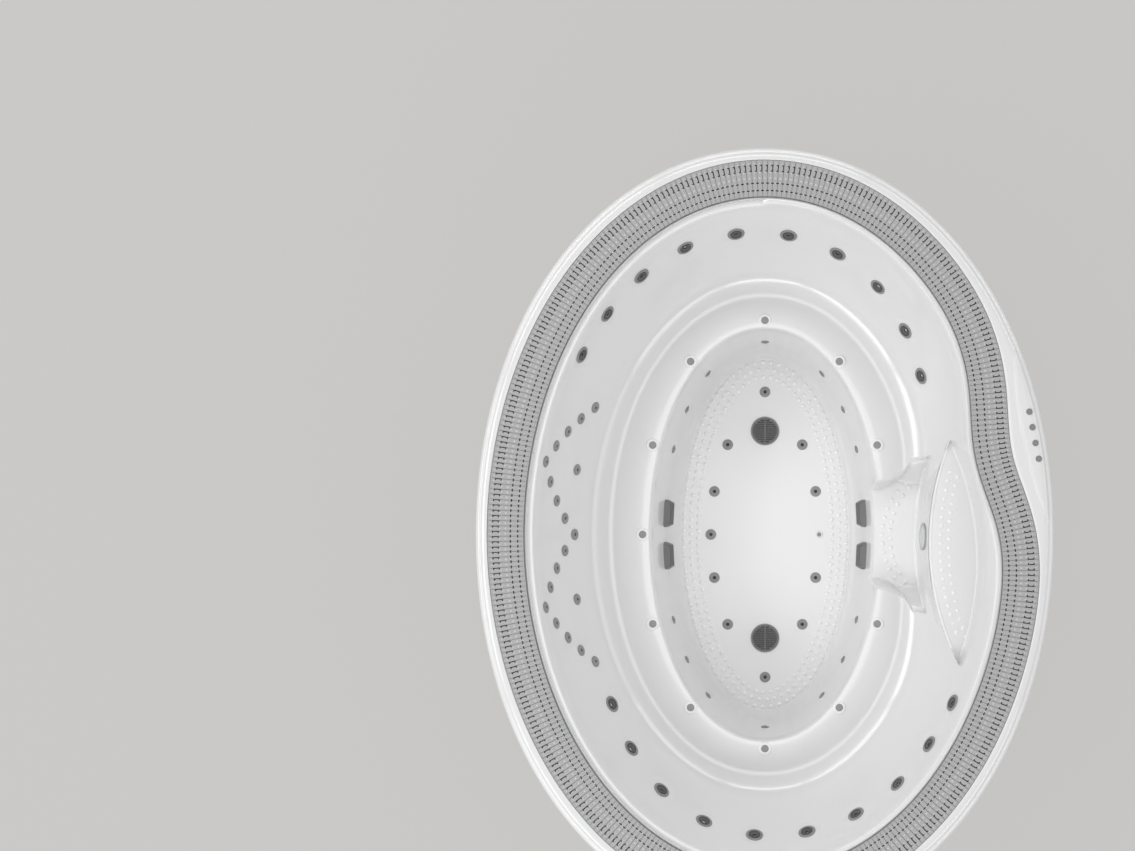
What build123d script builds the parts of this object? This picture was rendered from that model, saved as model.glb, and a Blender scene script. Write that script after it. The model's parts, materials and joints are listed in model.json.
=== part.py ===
from build123d import *
import math
import os

# An oval overflow hot tub for building in. Millimetres, +Z up, long axis along Y.
# The origin is on the floor under the middle of the tub, and the entry steps are at +X.

# Heights above the floor
RIM_TOP = 1040.0
LIP_TOP = 1030.0
LEAF_STEP_TOP = 800.0
CREASE_TOP = 625.0
BENCH_TOP = 590.0
LOWER_STEP_TOP = 490.0
FLOOR_TOP = 140.0

# Shell
SHELL_THICK = 10.0
RIM_HALF_WIDTH = 1235.0
RIM_HALF_LENGTH = 1650.0
RIM_FULLNESS = 2.05
RIM_SKIRT_DEPTH = 60.0
RIM_EDGE_BEVEL = 5.0
OVERRUN = 40.0
ANGLE_STEP = 0.05
# The basin and the gutter are divided on radial planes that miss every fitting
SECTOR_ANGLES = (-35.0, -14.0, 14.0, 34.0, 50.5, 70.5, 91.3, 110.5, 129.9, 168.5, 191.5, 222.0, 243.0, 263.0, 283.0, 303.0)
BASIN_LOW = 491.0
LIP_JOINT_INSET = 93.0
LIP_JOINT_SIDES = 72
# Where the rings' arcs meet: short arcs on the entry side, where the rings are dented
RING_BREAKS = tuple(range(-60, 60, 12)) + tuple(range(60, 300, 24))

# Gutter and its grating
GUTTER_HALF_WIDTH = 1104.5
GUTTER_HALF_LENGTH = 1516.0
GUTTER_DENT = 103.0
GUTTER_DENT_ANGLE = 20.0
GUTTER_DENT_SPREAD = 12.5
GUTTER_WIDTH = 156.0
GUTTER_DEPTH = 150.0
LEDGE_WIDTH = 12.0
GRATING_DEPTH = 24.0
# Three 22 mm modules make one bar here
GRATING_PITCH = 66.0
GRATING_BAR = 58.0
GRATING_CLEAR = 3.0
GRATING_SINK = 2.0
SPINE_WIDTH = 16.0
GRATING_SECTIONS = 8
WALK_STEPS = 7200

# Back wall
LIP_HALF_WIDTH = 988.5
LIP_HALF_LENGTH = 1400.0
LIP_DENT = 98.0
LIP_DENT_SPREAD = 13.0
CREASE_HALF_WIDTH = 788.0
CREASE_HALF_LENGTH = 1158.0
CREASE_FULLNESS = 2.03
ENTRY_DENT = 112.0
ENTRY_DENT_ANGLE = -3.0
ENTRY_DENT_SPREAD = 21.5
WALL_BREAK_SHARE = 0.55
CREASE_WIDTH = 55.0

# Bench and footwell
BENCH_EDGE_HALF_WIDTH = 509.0
BENCH_EDGE_HALF_LENGTH = 918.0
BENCH_FULLNESS = 2.06
FLOOR_HALF_WIDTH = 415.0
FLOOR_HALF_LENGTH = 840.0
FLOOR_FULLNESS = 2.04

# Entry steps: the leaf-shaped upper step, its riser and the fan-shaped lower step
LEAF_UPPER_TIP = (809.0, 403.0)
LEAF_LOWER_TIP = (844.0, -554.0)
LEAF_INNER_MIDDLE = (722.0, -45.0)
LEAF_OUTER_MIDDLE = (926.0, -70.0)
LEAF_WALL_TOP = 985.0
LEAF_WALL_DRAFT = 22.0
RISER_FOOT_MIDDLE = (678.0, -30.0)
RISER_FOOT_RADIUS = 1415.0
RISER_HEAD_RADIUS = 1150.0
RISER_HALF_LENGTH = 720.0
FAN_HALF_MOUTH = 200.0
FAN_MOUTH_X = 505.0
FAN_MIDDLE = (590.0, 238.0)
FAN_TIP = (656.0, 340.0)
FAN_INNER_X = 380.0
FAN_OUTER_X = 860.0
FAN_SLOPE = 0.45
FAN_TOP = 700.0

# Control panel on the rim
PANEL_RISE = 3.0
PANEL_START = (1062.0, 930.0)
PANEL_MIDDLE = (1086.0, 480.0)
PANEL_END = (1216.0, 30.0)
PANEL_EDGE_GAP = 12.0

# Large turning jets
JET_COUNT = 10
JET_FIRST_ANGLE = 45.5
JET_LOWER_ANGLE = -42.0
JET_ANGLE_STEP = 10.0
JET_HEIGHT_SHARES = (0.20, 0.31, 0.42, 0.475, 0.50, 0.535, 0.61, 0.68, 0.71, 0.745)
JET_DIMPLE = 115.0
JET_DIMPLE_DEPTH = 4.0
JET_FLANGE = 76.0
JET_FLANGE_THICK = 5.0
JET_BARREL = 60.0
JET_BARREL_LENGTH = 58.0
JET_BORE = 52.6
JET_CHAMBER = 38.0
JET_CHAMBER_DEPTH = 45.0
JET_NOZZLE = 50.2
JET_NOZZLE_LENGTH = 34.0
JET_NOZZLE_PROUD = 3.0
JET_OUTLET = 18.0
JET_OUTLET_OFFSET = 10.0
JET_SIDES = 16
JET_BARREL_SIDES = 8
JET_OUTLET_SIDES = 8
JET_HOSE_DEPTH = 42.0

# Small fixed fittings
SMALL_FLANGE = 50.0
SMALL_FLANGE_THICK = 4.0
SMALL_BARREL = 28.0
SMALL_BARREL_LENGTH = 46.0
SMALL_STAND = 1.0
SEAT_DEPTH = 1.5
SMALL_OUTLET = 12.0
SMALL_OUTLET_DEPTH = 9.0
FIT_CLEAR = 0.3
FLANGE_SIDES = 12
BARREL_SIDES = 6

# Back massage jets on the wall opposite the steps
BACK_JET_COUNT = 17
BACK_JET_ANGLE_STEP = 4.6
BACK_JET_LOW_SHARE = 0.19
BACK_JET_STEP_SHARE = 0.157
BACK_JET_TURN = 4
BACK_JET_PAIR_ANGLE = 19.0
BACK_JET_PAIR_SHARE = 0.23

# Bench air nozzles, footwell inlets and floor jets
AIR_NOZZLE_ANGLES = (40.0, 68.0, 90.0, 112.0, 140.0, 180.0, 220.0, 248.0, 270.0, 292.0, 320.0)
AIR_NOZZLE_INSET = 37.0
AIR_FLANGE = 56.0
INLET_ANGLES = (43.0, 58.0, 70.5, 90.0, 109.5, 122.0, 137.0)
INLET_HEIGHT = 370.0
INLET_FLANGE = 36.0
INLET_BARREL = 22.0
FLOOR_JET_X_SHARES = (0.0, 0.42, 0.57, 0.61, 0.57, 0.42, 0.0)
FLOOR_JET_Y_SHARES = (0.794, 0.50, 0.24, 0.0, -0.24, -0.50, -0.794)
SENSOR_FLANGE = 36.0

# Drains and suction grilles
DRAIN_Y = 484.0
DRAIN_DIAMETER = 134.0
DRAIN_RIM = 5.0
DRAIN_RIM_RISE = 3.0
DRAIN_LEDGE = 5.0
DRAIN_COVER_THICK = 6.0
DRAIN_COVER_CLEAR = 0.6
DRAIN_SUMP_DEPTH = 62.0
DRAIN_BAR = 5.0
DRAIN_SLOT = 5.0
SUCTION_Y = 97.0
SUCTION_HEIGHT = 335.0
SUCTION_LENGTH = 128.0
SUCTION_WIDTH = 92.0
SUCTION_CORNER = 12.0
SUCTION_WALL = 5.0
SUCTION_RISE = 30.0
SUCTION_LEAN = 13.0
SUCTION_BOX_DEPTH = 60.0
SUCTION_SLOTS = 7
SUCTION_BAR = 5.0

# Light on the riser
LIGHT_HEIGHT = 655.0
LIGHT_Y = -10.0
LIGHT_BEZEL = 120.0
LIGHT_BEZEL_THICK = 6.0
LIGHT_LENS = 96.0
LIGHT_LENS_RISE = 5.0
LIGHT_HOUSING = 90.0
LIGHT_HOUSING_DEPTH = 70.0

# Push buttons
BUTTON_PLACES = ((1124.0, 522.0), (1137.0, 456.0), (1150.0, 389.0), (1164.0, 322.0))
BUTTON_CAP = 20.0
BUTTON_BEZEL = 27.0
BUTTON_BEZEL_RISE = 1.5
BUTTON_CAP_RISE = 4.0
BUTTON_TRAVEL = 3.0
BUTTON_STEM = 10.0
BUTTON_CAP_DEPTH = 6.0
BUTTON_STEM_LENGTH = 12.0
BUTTON_SOCKET_DEPTH = 30.0
BUTTON_SOCKET_FLOOR = 3.0
BUTTON_SOCKET = 24.0
BUTTON_SIDES = 24

# Support frame
TUBE = 50.0
TUBE_WALL = 3.0
RAIL_TOP = 130.0
RAIL_BOTTOM = 80.0
CROSS_RAIL_PLACES = (120.0, 620.0)
END_POST_ANGLES = (66.0, 90.0, 114.0)
POST_HEAD_THICK = 6.0
POST_HEAD_SIZE = 90.0
FOOT_DIAMETER = 70.0
FOOT_THICK = 12.0
STUD_DIAMETER = 16.0
LOCK_NUT_WIDTH = 28.0
LOCK_NUT_THICK = 13.0
STUD_SIDES = 8
FOOT_SIDES = 16
NUT_SIDES = 6
PIPE_SIDES = 12
SEARCH_HALVINGS = 40

# Pipework
PIPE = 50.0
PIPE_WALL = 3.0
HOSE = 25.0
UNION_DIAMETER = 66.0
UNION_LENGTH = 40.0
DRAIN_PIPE_HEIGHT = 96.0
ELBOW_WALL = 4.0
DRAIN_PIPE_X = -700.0
DRAIN_COLLECTOR_HEIGHT = 220.0
SUCTION_PIPE_X = 620.0
UNION_X = 860.0
AIR_CHANNEL_HALF_WIDTH = 24.0
AIR_CHANNEL_DEPTH = 48.0
AIR_CHANNEL_WALL = 4.0
AIR_CHANNEL_GAP_Y = 310.0
GUTTER_OUTLET = 63.0
GUTTER_OUTLET_FLANGE = 85.0
GUTTER_OUTLET_FLANGE_THICK = 4.0
GUTTER_OUTLET_LENGTH = 60.0
GUTTER_OUTLET_ANGLES = (48.0, 132.0, 228.0, 312.0)

os.makedirs("parts", exist_ok=True)


def turn(degrees):
    """Cosine and sine of an angle in degrees."""
    return math.cos(math.radians(degrees)), math.sin(math.radians(degrees))


def ring_radius(ring, angle):
    """Radius of an oval ring with a dent, at an angle from +X."""
    half_width, half_length, fullness, dent, dent_angle, spread = ring
    across, along = turn(angle)
    reach = (abs(across) / half_width) ** fullness + (abs(along) / half_length) ** fullness
    away = (angle - dent_angle + 180.0) % 360.0 - 180.0
    return reach ** (-1.0 / fullness) - dent * math.exp(-((away / spread) ** 2) / 2.0)


def ring_point(ring, angle, grow=0.0):
    """A point of a ring moved outward by grow, and the outward direction there."""
    before, after = ring_radius(ring, angle - ANGLE_STEP), ring_radius(ring, angle + ANGLE_STEP)
    ahead, behind = turn(angle + ANGLE_STEP), turn(angle - ANGLE_STEP)
    run = (after * ahead[0] - before * behind[0], after * ahead[1] - before * behind[1])
    size = math.hypot(*run)
    outward = (run[1] / size, -run[0] / size)
    across, along = turn(angle)
    radius = ring_radius(ring, angle)
    return (radius * across + grow * outward[0], radius * along + grow * outward[1]), outward


RIM = (RIM_HALF_WIDTH, RIM_HALF_LENGTH, RIM_FULLNESS, 0.0, 0.0, 1.0)
GUTTER = (GUTTER_HALF_WIDTH, GUTTER_HALF_LENGTH, 2.0, GUTTER_DENT, GUTTER_DENT_ANGLE, GUTTER_DENT_SPREAD)
LIP = (LIP_HALF_WIDTH, LIP_HALF_LENGTH, 2.0, LIP_DENT, GUTTER_DENT_ANGLE, LIP_DENT_SPREAD)
CREASE = (CREASE_HALF_WIDTH, CREASE_HALF_LENGTH, CREASE_FULLNESS, ENTRY_DENT, ENTRY_DENT_ANGLE, ENTRY_DENT_SPREAD)
BENCH_EDGE = (BENCH_EDGE_HALF_WIDTH, BENCH_EDGE_HALF_LENGTH, BENCH_FULLNESS, 0.0, 0.0, 1.0)
FLOOR_EDGE = (FLOOR_HALF_WIDTH, FLOOR_HALF_LENGTH, FLOOR_FULLNESS, 0.0, 0.0, 1.0)


def arc_wire(place):
    """A closed wire of arcs, each through place at its two ends and at its middle."""
    arcs = []
    for first, last in zip(RING_BREAKS, RING_BREAKS[1:] + (RING_BREAKS[0] + 360,)):
        arcs.append(ThreePointArc(place(first), place((first + last) / 2.0), place(last)))
    return Wire(arcs)


def ring_wire(ring, height, grow=0.0):
    """A closed wire along a ring."""
    return arc_wire(lambda angle: (*ring_point(ring, angle, grow)[0], height))


def wall_ring_wire(share, height, grow=0.0):
    """A closed wire between the crease and the lip, at a share of the way out."""
    def place(angle):
        low, _ = ring_point(CREASE, angle, grow)
        high, _ = ring_point(LIP, angle, grow)
        return (low[0] + (high[0] - low[0]) * share, low[1] + (high[1] - low[1]) * share, height)
    return arc_wire(place)


def ring_slab(ring, grow, low, high, hole=None, hole_grow=0.0):
    """A flat oval slab, with an oval hole where one is given."""
    inner = [ring_wire(hole, low, hole_grow)] if hole else []
    face = Face(ring_wire(ring, low, grow), inner)
    return extrude(face, amount=high - low, dir=(0, 0, 1))


def save(shape, name):
    """Writes one node, as its separate solids."""
    solids = list(shape.solids()) if hasattr(shape, "solids") else list(shape)
    export_step(Compound(children=[Solid(s.wrapped) for s in solids]), "parts/" + name + ".step")


# The space inside the back wall

def wall_space(grow):
    """The space above the bench, grown outward for the outside of the shell."""
    upper = Solid.make_loft(
        [
            ring_wire(CREASE, CREASE_TOP, grow),
            wall_ring_wire(WALL_BREAK_SHARE, LEAF_STEP_TOP, grow),
            ring_wire(LIP, LIP_TOP, grow),
        ]
    )
    bottom = BENCH_TOP - grow
    lower = Solid.make_loft([ring_wire(CREASE, bottom, grow - CREASE_WIDTH), ring_wire(CREASE, CREASE_TOP, grow)], True)
    return upper + lower


def footwell_space(grow):
    """The space inside the footwell."""
    low = ring_wire(FLOOR_EDGE, FLOOR_TOP - grow, grow)
    high = ring_wire(BENCH_EDGE, BENCH_TOP, grow)
    well = Solid.make_loft([low, high], True)
    neck = ring_slab(BENCH_EDGE, grow, BENCH_TOP, BENCH_TOP + OVERRUN)
    return well + neck if grow == 0.0 else well


def riser_arc(radius, middle, height, shift):
    """The curve of the riser in plan, past both ends of the leaf."""
    def at(offset):
        return (middle[0] + shift + offset * offset / (2.0 * radius), middle[1] + offset, height)
    return ThreePointArc(at(-RISER_HALF_LENGTH), at(0.0), at(RISER_HALF_LENGTH))


def riser_block(shift, top, bottom):
    """Everything behind the riser's face, moved back by shift."""
    wires = []
    for height in (bottom, top):
        part = (height - LOWER_STEP_TOP) / (LEAF_STEP_TOP - LOWER_STEP_TOP)
        radius = RISER_FOOT_RADIUS + (RISER_HEAD_RADIUS - RISER_FOOT_RADIUS) * part
        x = RISER_FOOT_MIDDLE[0] + (LEAF_INNER_MIDDLE[0] - RISER_FOOT_MIDDLE[0]) * part
        y = RISER_FOOT_MIDDLE[1] + (LEAF_INNER_MIDDLE[1] - RISER_FOOT_MIDDLE[1]) * part
        arc = riser_arc(radius, (x, y), height, shift)
        far = RIM_HALF_WIDTH
        corners = [arc @ 1, Vector(far, (arc @ 1).Y, height), Vector(far, (arc @ 0).Y, height), arc @ 0]
        wires.append(Wire([arc] + [Line(a, b) for a, b in zip(corners, corners[1:])]))
    return Solid.make_loft(wires, True)


def leaf_outline(height, draft):
    """The leaf in plan: its inner edge is the head of the riser."""
    upper, lower = LEAF_UPPER_TIP, LEAF_LOWER_TIP
    inner = LEAF_INNER_MIDDLE
    outer = (LEAF_OUTER_MIDDLE[0] + draft, LEAF_OUTER_MIDDLE[1])
    back = ThreePointArc((*upper, height), (*outer, height), (*lower, height))
    front = ThreePointArc((*lower, height), (*inner, height), (*upper, height))
    return Wire([back, front])


def leaf_space():
    """The recess over the leaf-shaped step."""
    return Solid.make_loft([leaf_outline(LEAF_STEP_TOP, 0.0), leaf_outline(LEAF_WALL_TOP, LEAF_WALL_DRAFT)], True)


def fan_outline(height, grow):
    """The lower step in plan: two bowed ends that lean outward."""
    lean = grow + (height - LOWER_STEP_TOP) * FAN_SLOPE
    sides = []
    for side in (1.0, -1.0):
        mouth = (FAN_MOUTH_X, side * (FAN_HALF_MOUTH + lean), height)
        middle = (FAN_MIDDLE[0], side * (FAN_MIDDLE[1] + lean), height)
        tip = (FAN_TIP[0], side * (FAN_TIP[1] + lean), height)
        sides.append((mouth, middle, tip))
    (m1, c1, t1), (m2, c2, t2) = sides
    near1, near2 = (FAN_INNER_X, m1[1], height), (FAN_INNER_X, m2[1], height)
    far1, far2 = (FAN_OUTER_X, t1[1], height), (FAN_OUTER_X, t2[1], height)
    return Wire(
        [
            Line(near1, m1),
            ThreePointArc(m1, c1, t1),
            Line(t1, far1),
            Line(far1, far2),
            Line(far2, t2),
            ThreePointArc(t2, c2, m2),
            Line(m2, near2),
            Line(near2, near1),
        ]
    )


def fan_space(grow):
    """The space over the lower step."""
    return Solid.make_loft([fan_outline(LOWER_STEP_TOP - grow, grow), fan_outline(FAN_TOP, grow)], True)


wall = wall_space(0.0)
bathing = (wall + fan_space(0.0)) - riser_block(0.0, LEAF_STEP_TOP, LOWER_STEP_TOP - OVERRUN)
bathing = bathing + leaf_space() + footwell_space(0.0)


def gutter_band(half_width, low, high):
    """A slab along the gutter, of one width."""
    return ring_slab(GUTTER, half_width, low, high, GUTTER, -half_width)


# Where the fittings sit


def wall_spot(angle, height, space=bathing):
    """A point on the inside of the shell, met level from the middle, and a plane on it that faces the water."""
    across, along = turn(angle)
    hits = space.find_intersection_points(Axis((0, 0, height), (across, along, 0)))
    ahead = [(point, normal) for point, normal in hits if point.X * across + point.Y * along > 0]
    point, normal = ahead[-1]
    inward = -normal if normal.X * across + normal.Y * along > 0 else normal
    sideways = Vector(-along, across, 0)
    return Plane(origin=point, x_dir=sideways, z_dir=inward)


def level_spot(x, y, height):
    """A plane on a level face."""
    return Plane(origin=(x, y, height), x_dir=(1, 0, 0), z_dir=(0, 0, 1))


def wall_height(share):
    """A height on the back wall, as a share of the way from the crease to the lip."""
    return CREASE_TOP + (LIP_TOP - CREASE_TOP) * share


jet_rows = []
for first, heights in (
    (JET_FIRST_ANGLE, JET_HEIGHT_SHARES),
    (JET_LOWER_ANGLE, tuple(reversed(JET_HEIGHT_SHARES))),
):
    direction = 1.0 if first > 0.0 else -1.0
    row = []
    for i in range(JET_COUNT):
        row.append(wall_spot(first + direction * JET_ANGLE_STEP * i, wall_height(heights[i]), wall))
    jet_rows.append(row)
jet_spots = [plane.offset(-JET_DIMPLE_DEPTH) for row in jet_rows for plane in row]

back_jet_spots = []
middle_index = (BACK_JET_COUNT - 1) / 2
for i in range(BACK_JET_COUNT):
    climb = BACK_JET_TURN - abs(i % (2 * BACK_JET_TURN) - BACK_JET_TURN)
    share = BACK_JET_LOW_SHARE + BACK_JET_STEP_SHARE * climb
    back_jet_spots.append(wall_spot(180.0 + (i - middle_index) * BACK_JET_ANGLE_STEP, wall_height(share), wall))
for side in (-1.0, 1.0):
    back_jet_spots.append(wall_spot(180.0 + side * BACK_JET_PAIR_ANGLE, wall_height(BACK_JET_PAIR_SHARE), wall))

air_spots = []
for angle in AIR_NOZZLE_ANGLES:
    (x, y), _ = ring_point(BENCH_EDGE, angle, AIR_NOZZLE_INSET)
    air_spots.append(level_spot(x, y, BENCH_TOP))

inlet_angles = [side * angle for angle in INLET_ANGLES for side in (1.0, -1.0)]
inlet_spots = [wall_spot(angle, INLET_HEIGHT) for angle in inlet_angles]

floor_spots = []
for i in range(len(FLOOR_JET_X_SHARES)):
    for side in ((1.0,) if FLOOR_JET_X_SHARES[i] == 0.0 else (1.0, -1.0)):
        x = side * FLOOR_JET_X_SHARES[i] * FLOOR_HALF_WIDTH
        floor_spots.append(level_spot(x, FLOOR_JET_Y_SHARES[i] * FLOOR_HALF_LENGTH, FLOOR_TOP))
sensor_spot = max(floor_spots, key=lambda plane: plane.origin.X - abs(plane.origin.Y))
floor_spots.remove(sensor_spot)

drain_spots = [level_spot(0.0, side * DRAIN_Y, FLOOR_TOP) for side in (1.0, -1.0)]


def suction_spot(across, shift):
    """A plane on the footwell's side wall for one suction fitting."""
    hits = bathing.find_intersection_points(Axis((0, shift * SUCTION_Y, SUCTION_HEIGHT), (across, 0, 0)))
    point, normal = [(p, n) for p, n in hits if p.X * across > 0][-1]
    inward = -normal if normal.X * across > 0 else normal
    return Plane(origin=point, x_dir=(0, across, 0), z_dir=inward)


suction_spots = [suction_spot(across, shift) for across in (1.0, -1.0) for shift in (1.0, -1.0)]
light_hits = bathing.find_intersection_points(Axis((0, LIGHT_Y, LIGHT_HEIGHT), (1, 0, 0)))
light_point, light_normal = [(p, n) for p, n in light_hits if p.X > 0][-1]
light_inward = -light_normal if light_normal.X > 0 else light_normal
light_spot = Plane(origin=light_point, x_dir=(0, 1, 0), z_dir=light_inward)
button_spots = [level_spot(x, y, RIM_TOP + PANEL_RISE) for x, y in BUTTON_PLACES]
outlet_spots = [level_spot(*ring_point(GUTTER, angle)[0], RIM_TOP - GUTTER_DEPTH) for angle in GUTTER_OUTLET_ANGLES]


def disc(radius, low, high):
    """A round slab about +Z between two heights."""
    return Pos(0, 0, low) * Cylinder(radius, high - low, align=(Align.CENTER, Align.CENTER, Align.MIN))


def prism(radius, low, high, sides):
    """An upright prism about +Z with its corners on a circle."""
    return Pos(0, 0, low) * extrude(RegularPolygon(radius, sides), high - low)


def placed(shape, planes):
    """A copy of a shape on each plane."""
    return [plane.location * shape for plane in planes]


# The shell

def shell_outside():
    """The outer skin: wall, footwell, lower step, leaf step, gutter, lip and rim."""
    skin = wall_space(SHELL_THICK) + fan_space(SHELL_THICK)
    skin = skin - riser_block(SHELL_THICK, LEAF_STEP_TOP - SHELL_THICK, LOWER_STEP_TOP - SHELL_THICK - OVERRUN)
    skin = skin + footwell_space(SHELL_THICK)
    leaf = Face(leaf_outline(LEAF_STEP_TOP - SHELL_THICK, 0.0))
    leaf_back = offset(leaf, amount=SHELL_THICK + LEAF_WALL_DRAFT)
    skin = skin + extrude(leaf_back, amount=LEAF_WALL_TOP - LEAF_STEP_TOP, dir=(0, 0, 1))
    seat = GUTTER_WIDTH / 2
    trough = gutter_band(seat - LEDGE_WIDTH + SHELL_THICK, RIM_TOP - GUTTER_DEPTH - SHELL_THICK, LIP_TOP)
    ledges = gutter_band(seat + SHELL_THICK, RIM_TOP - GRATING_DEPTH - GRATING_SINK - SHELL_THICK, LIP_TOP)
    rim = ring_slab(RIM, 0.0, RIM_TOP - RIM_SKIRT_DEPTH, RIM_TOP)
    rim = chamfer(rim.edges().group_by(Axis.Z)[-1], RIM_EDGE_BEVEL)
    rim = rim - ring_slab(RIM, -SHELL_THICK, RIM_TOP - RIM_SKIRT_DEPTH - OVERRUN, RIM_TOP - SHELL_THICK)
    rim = rim - ring_slab(GUTTER, 0.0, RIM_TOP - RIM_SKIRT_DEPTH, RIM_TOP + OVERRUN)
    lip = ring_slab(GUTTER, 0.0, LIP_TOP - SHELL_THICK, LIP_TOP, LIP, 0.0)
    return skin + trough + ledges + lip + rim


def panel_land():
    """The raised land of the rim that holds the buttons."""
    height = RIM_TOP - SHELL_THICK / 2
    crease = ThreePointArc((*PANEL_START, height), (*PANEL_MIDDLE, height), (*PANEL_END, height))
    far = RIM_HALF_WIDTH + OVERRUN
    corner1, corner2 = (far, PANEL_END[1], height), (far, PANEL_START[1], height)
    edge = Wire(
        [crease, Line((*PANEL_END, height), corner1), Line(corner1, corner2), Line(corner2, (*PANEL_START, height))]
    )
    block = extrude(Face(edge), amount=SHELL_THICK / 2 + PANEL_RISE, dir=(0, 0, 1))
    return block & ring_slab(RIM, -PANEL_EDGE_GAP, RIM_TOP - SHELL_THICK, RIM_TOP + OVERRUN)


def boxes_meet(p, q):
    """Whether two bounding boxes meet."""
    across = max(p.min.X - q.max.X, q.min.X - p.max.X)
    along = max(p.min.Y - q.max.Y, q.min.Y - p.max.Y)
    return max(across, along, p.min.Z - q.max.Z, q.min.Z - p.max.Z) < 0.0


def with_holes(shape, cutters):
    """A shape with the holes that reach it."""
    box = shape.bounding_box()
    return shape - [cutter for cutter, reach in cutters if boxes_meet(box, reach)]


def sector_block(start, end):
    """Everything between two directions from the middle."""
    far = 2.0 * RIM_HALF_LENGTH
    corners = [(0.0, 0.0, 0.0)] + [(far * turn(angle)[0], far * turn(angle)[1], 0.0) for angle in (start, end)]
    return extrude(Face(Wire.make_polygon(corners)), amount=RIM_TOP + OVERRUN, dir=(0, 0, 1))


def inside_lip_joint():
    """Everything inside the joint of the lip and the gutter."""
    angles = [360.0 * i / LIP_JOINT_SIDES for i in range(LIP_JOINT_SIDES)]
    corners = [(*ring_point(GUTTER, angle, -LIP_JOINT_INSET)[0], 0.0) for angle in angles]
    return extrude(Face(Wire.make_polygon(corners)), amount=RIM_TOP + OVERRUN, dir=(0, 0, 1))


def make_shell():
    """The shell's footwell, wall sectors and gutter sectors, with every hole cut."""
    seat = GUTTER_WIDTH / 2
    shell = shell_outside() + panel_land()
    top_band = gutter_band(seat, RIM_TOP - GRATING_DEPTH - GRATING_SINK, RIM_TOP + OVERRUN)
    channel = gutter_band(seat - LEDGE_WIDTH, RIM_TOP - GUTTER_DEPTH, RIM_TOP)
    shell = shell - bathing - ring_slab(LIP, 0.0, LIP_TOP - SHELL_THICK / 2, RIM_TOP + OVERRUN) - top_band - channel
    deep = SHELL_THICK + OVERRUN
    dimple = prism(JET_DIMPLE / 2, 0.0, OVERRUN, JET_SIDES)
    dimple = dimple + prism(JET_BARREL / 2 + FIT_CLEAR, -deep, 0.0, JET_BARREL_SIDES)
    small = prism(SMALL_BARREL / 2 + FIT_CLEAR, -deep, OVERRUN / 2, BARREL_SIDES)
    inlet = prism(INLET_BARREL / 2 + FIT_CLEAR, -deep, OVERRUN / 2, BARREL_SIDES)
    level = prism(SMALL_BARREL / 2 + FIT_CLEAR, -deep, OVERRUN, BARREL_SIDES)
    drain = disc(DRAIN_DIAMETER / 2 + FIT_CLEAR, -deep, OVERRUN)
    suction = Pos(0, 0, -SEAT_DEPTH) * extrude(
        RectangleRounded(SUCTION_LENGTH + SEAT_DEPTH, SUCTION_WIDTH + SEAT_DEPTH, SUCTION_CORNER), OVERRUN
    )
    suction = suction + Pos(0, 0, -deep) * extrude(
        Rectangle(SUCTION_LENGTH - 2 * SUCTION_CORNER, SUCTION_WIDTH - 2 * SUCTION_CORNER), deep
    )
    light = disc(LIGHT_BEZEL / 2 + FIT_CLEAR, -SEAT_DEPTH, OVERRUN)
    light = light + disc(LIGHT_HOUSING / 2 + FIT_CLEAR, -deep, 0.0)
    button = prism(BUTTON_SOCKET / 2 + FIT_CLEAR, -deep, OVERRUN, BUTTON_SIDES)
    outlet = disc(GUTTER_OUTLET / 2 + FIT_CLEAR, -deep, OVERRUN)
    cutters = placed(dimple, jet_spots) + placed(small, back_jet_spots) + placed(inlet, inlet_spots)
    cutters += placed(level, air_spots + floor_spots + [sensor_spot]) + placed(drain, drain_spots)
    cutters += placed(suction, suction_spots) + placed(light, [light_spot]) + placed(button, button_spots)
    cutters += placed(outlet, outlet_spots)
    basin_block = inside_lip_joint()
    gutter, basin = shell - basin_block, shell & basin_block
    below = Pos(0, 0, BASIN_LOW / 2) * Box(2 * RIM_HALF_WIDTH, 2 * RIM_HALF_LENGTH, BASIN_LOW)
    footwell, upper = basin & below, basin - below
    walls, gutters = [], []
    for start, end in zip(SECTOR_ANGLES, SECTOR_ANGLES[1:] + (SECTOR_ANGLES[0] + 360.0,)):
        block = sector_block(start, end)
        rest = sorted((gutter & block).solids(), key=lambda solid: solid.volume)
        gutters.append(rest.pop())
        walls.append((upper & block) + rest if rest else upper & block)
    cutters = [(cutter, cutter.bounding_box()) for cutter in cutters]
    return [[with_holes(shape, cutters) for shape in group] for group in ([footwell], walls, gutters)]


for name, shapes in zip(("shell_footwell", "shell_wall", "shell_gutter"), make_shell()):
    save(Compound(children=[solid for shape in shapes for solid in shape.solids()]), name)


# The gutter grating: cross bars on a central spine, in sections that lift out

def gutter_walk():
    """Points along the middle of the gutter, one for each bar, with the outward direction."""
    points = [ring_point(GUTTER, 360.0 * i / WALK_STEPS) for i in range(WALK_STEPS + 1)]
    lengths = [0.0]
    for i in range(WALK_STEPS):
        (x1, y1), _ = points[i]
        (x2, y2), _ = points[i + 1]
        lengths.append(lengths[-1] + math.hypot(x2 - x1, y2 - y1))
    bars = round(lengths[-1] / GRATING_PITCH)
    walk = []
    index = 0
    for k in range(bars):
        want = lengths[-1] * (k + 0.5) / bars
        while lengths[index + 1] < want:
            index += 1
        part = (want - lengths[index]) / (lengths[index + 1] - lengths[index])
        walk.append(ring_point(GUTTER, 360.0 * (index + part) / WALK_STEPS))
    return walk


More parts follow.
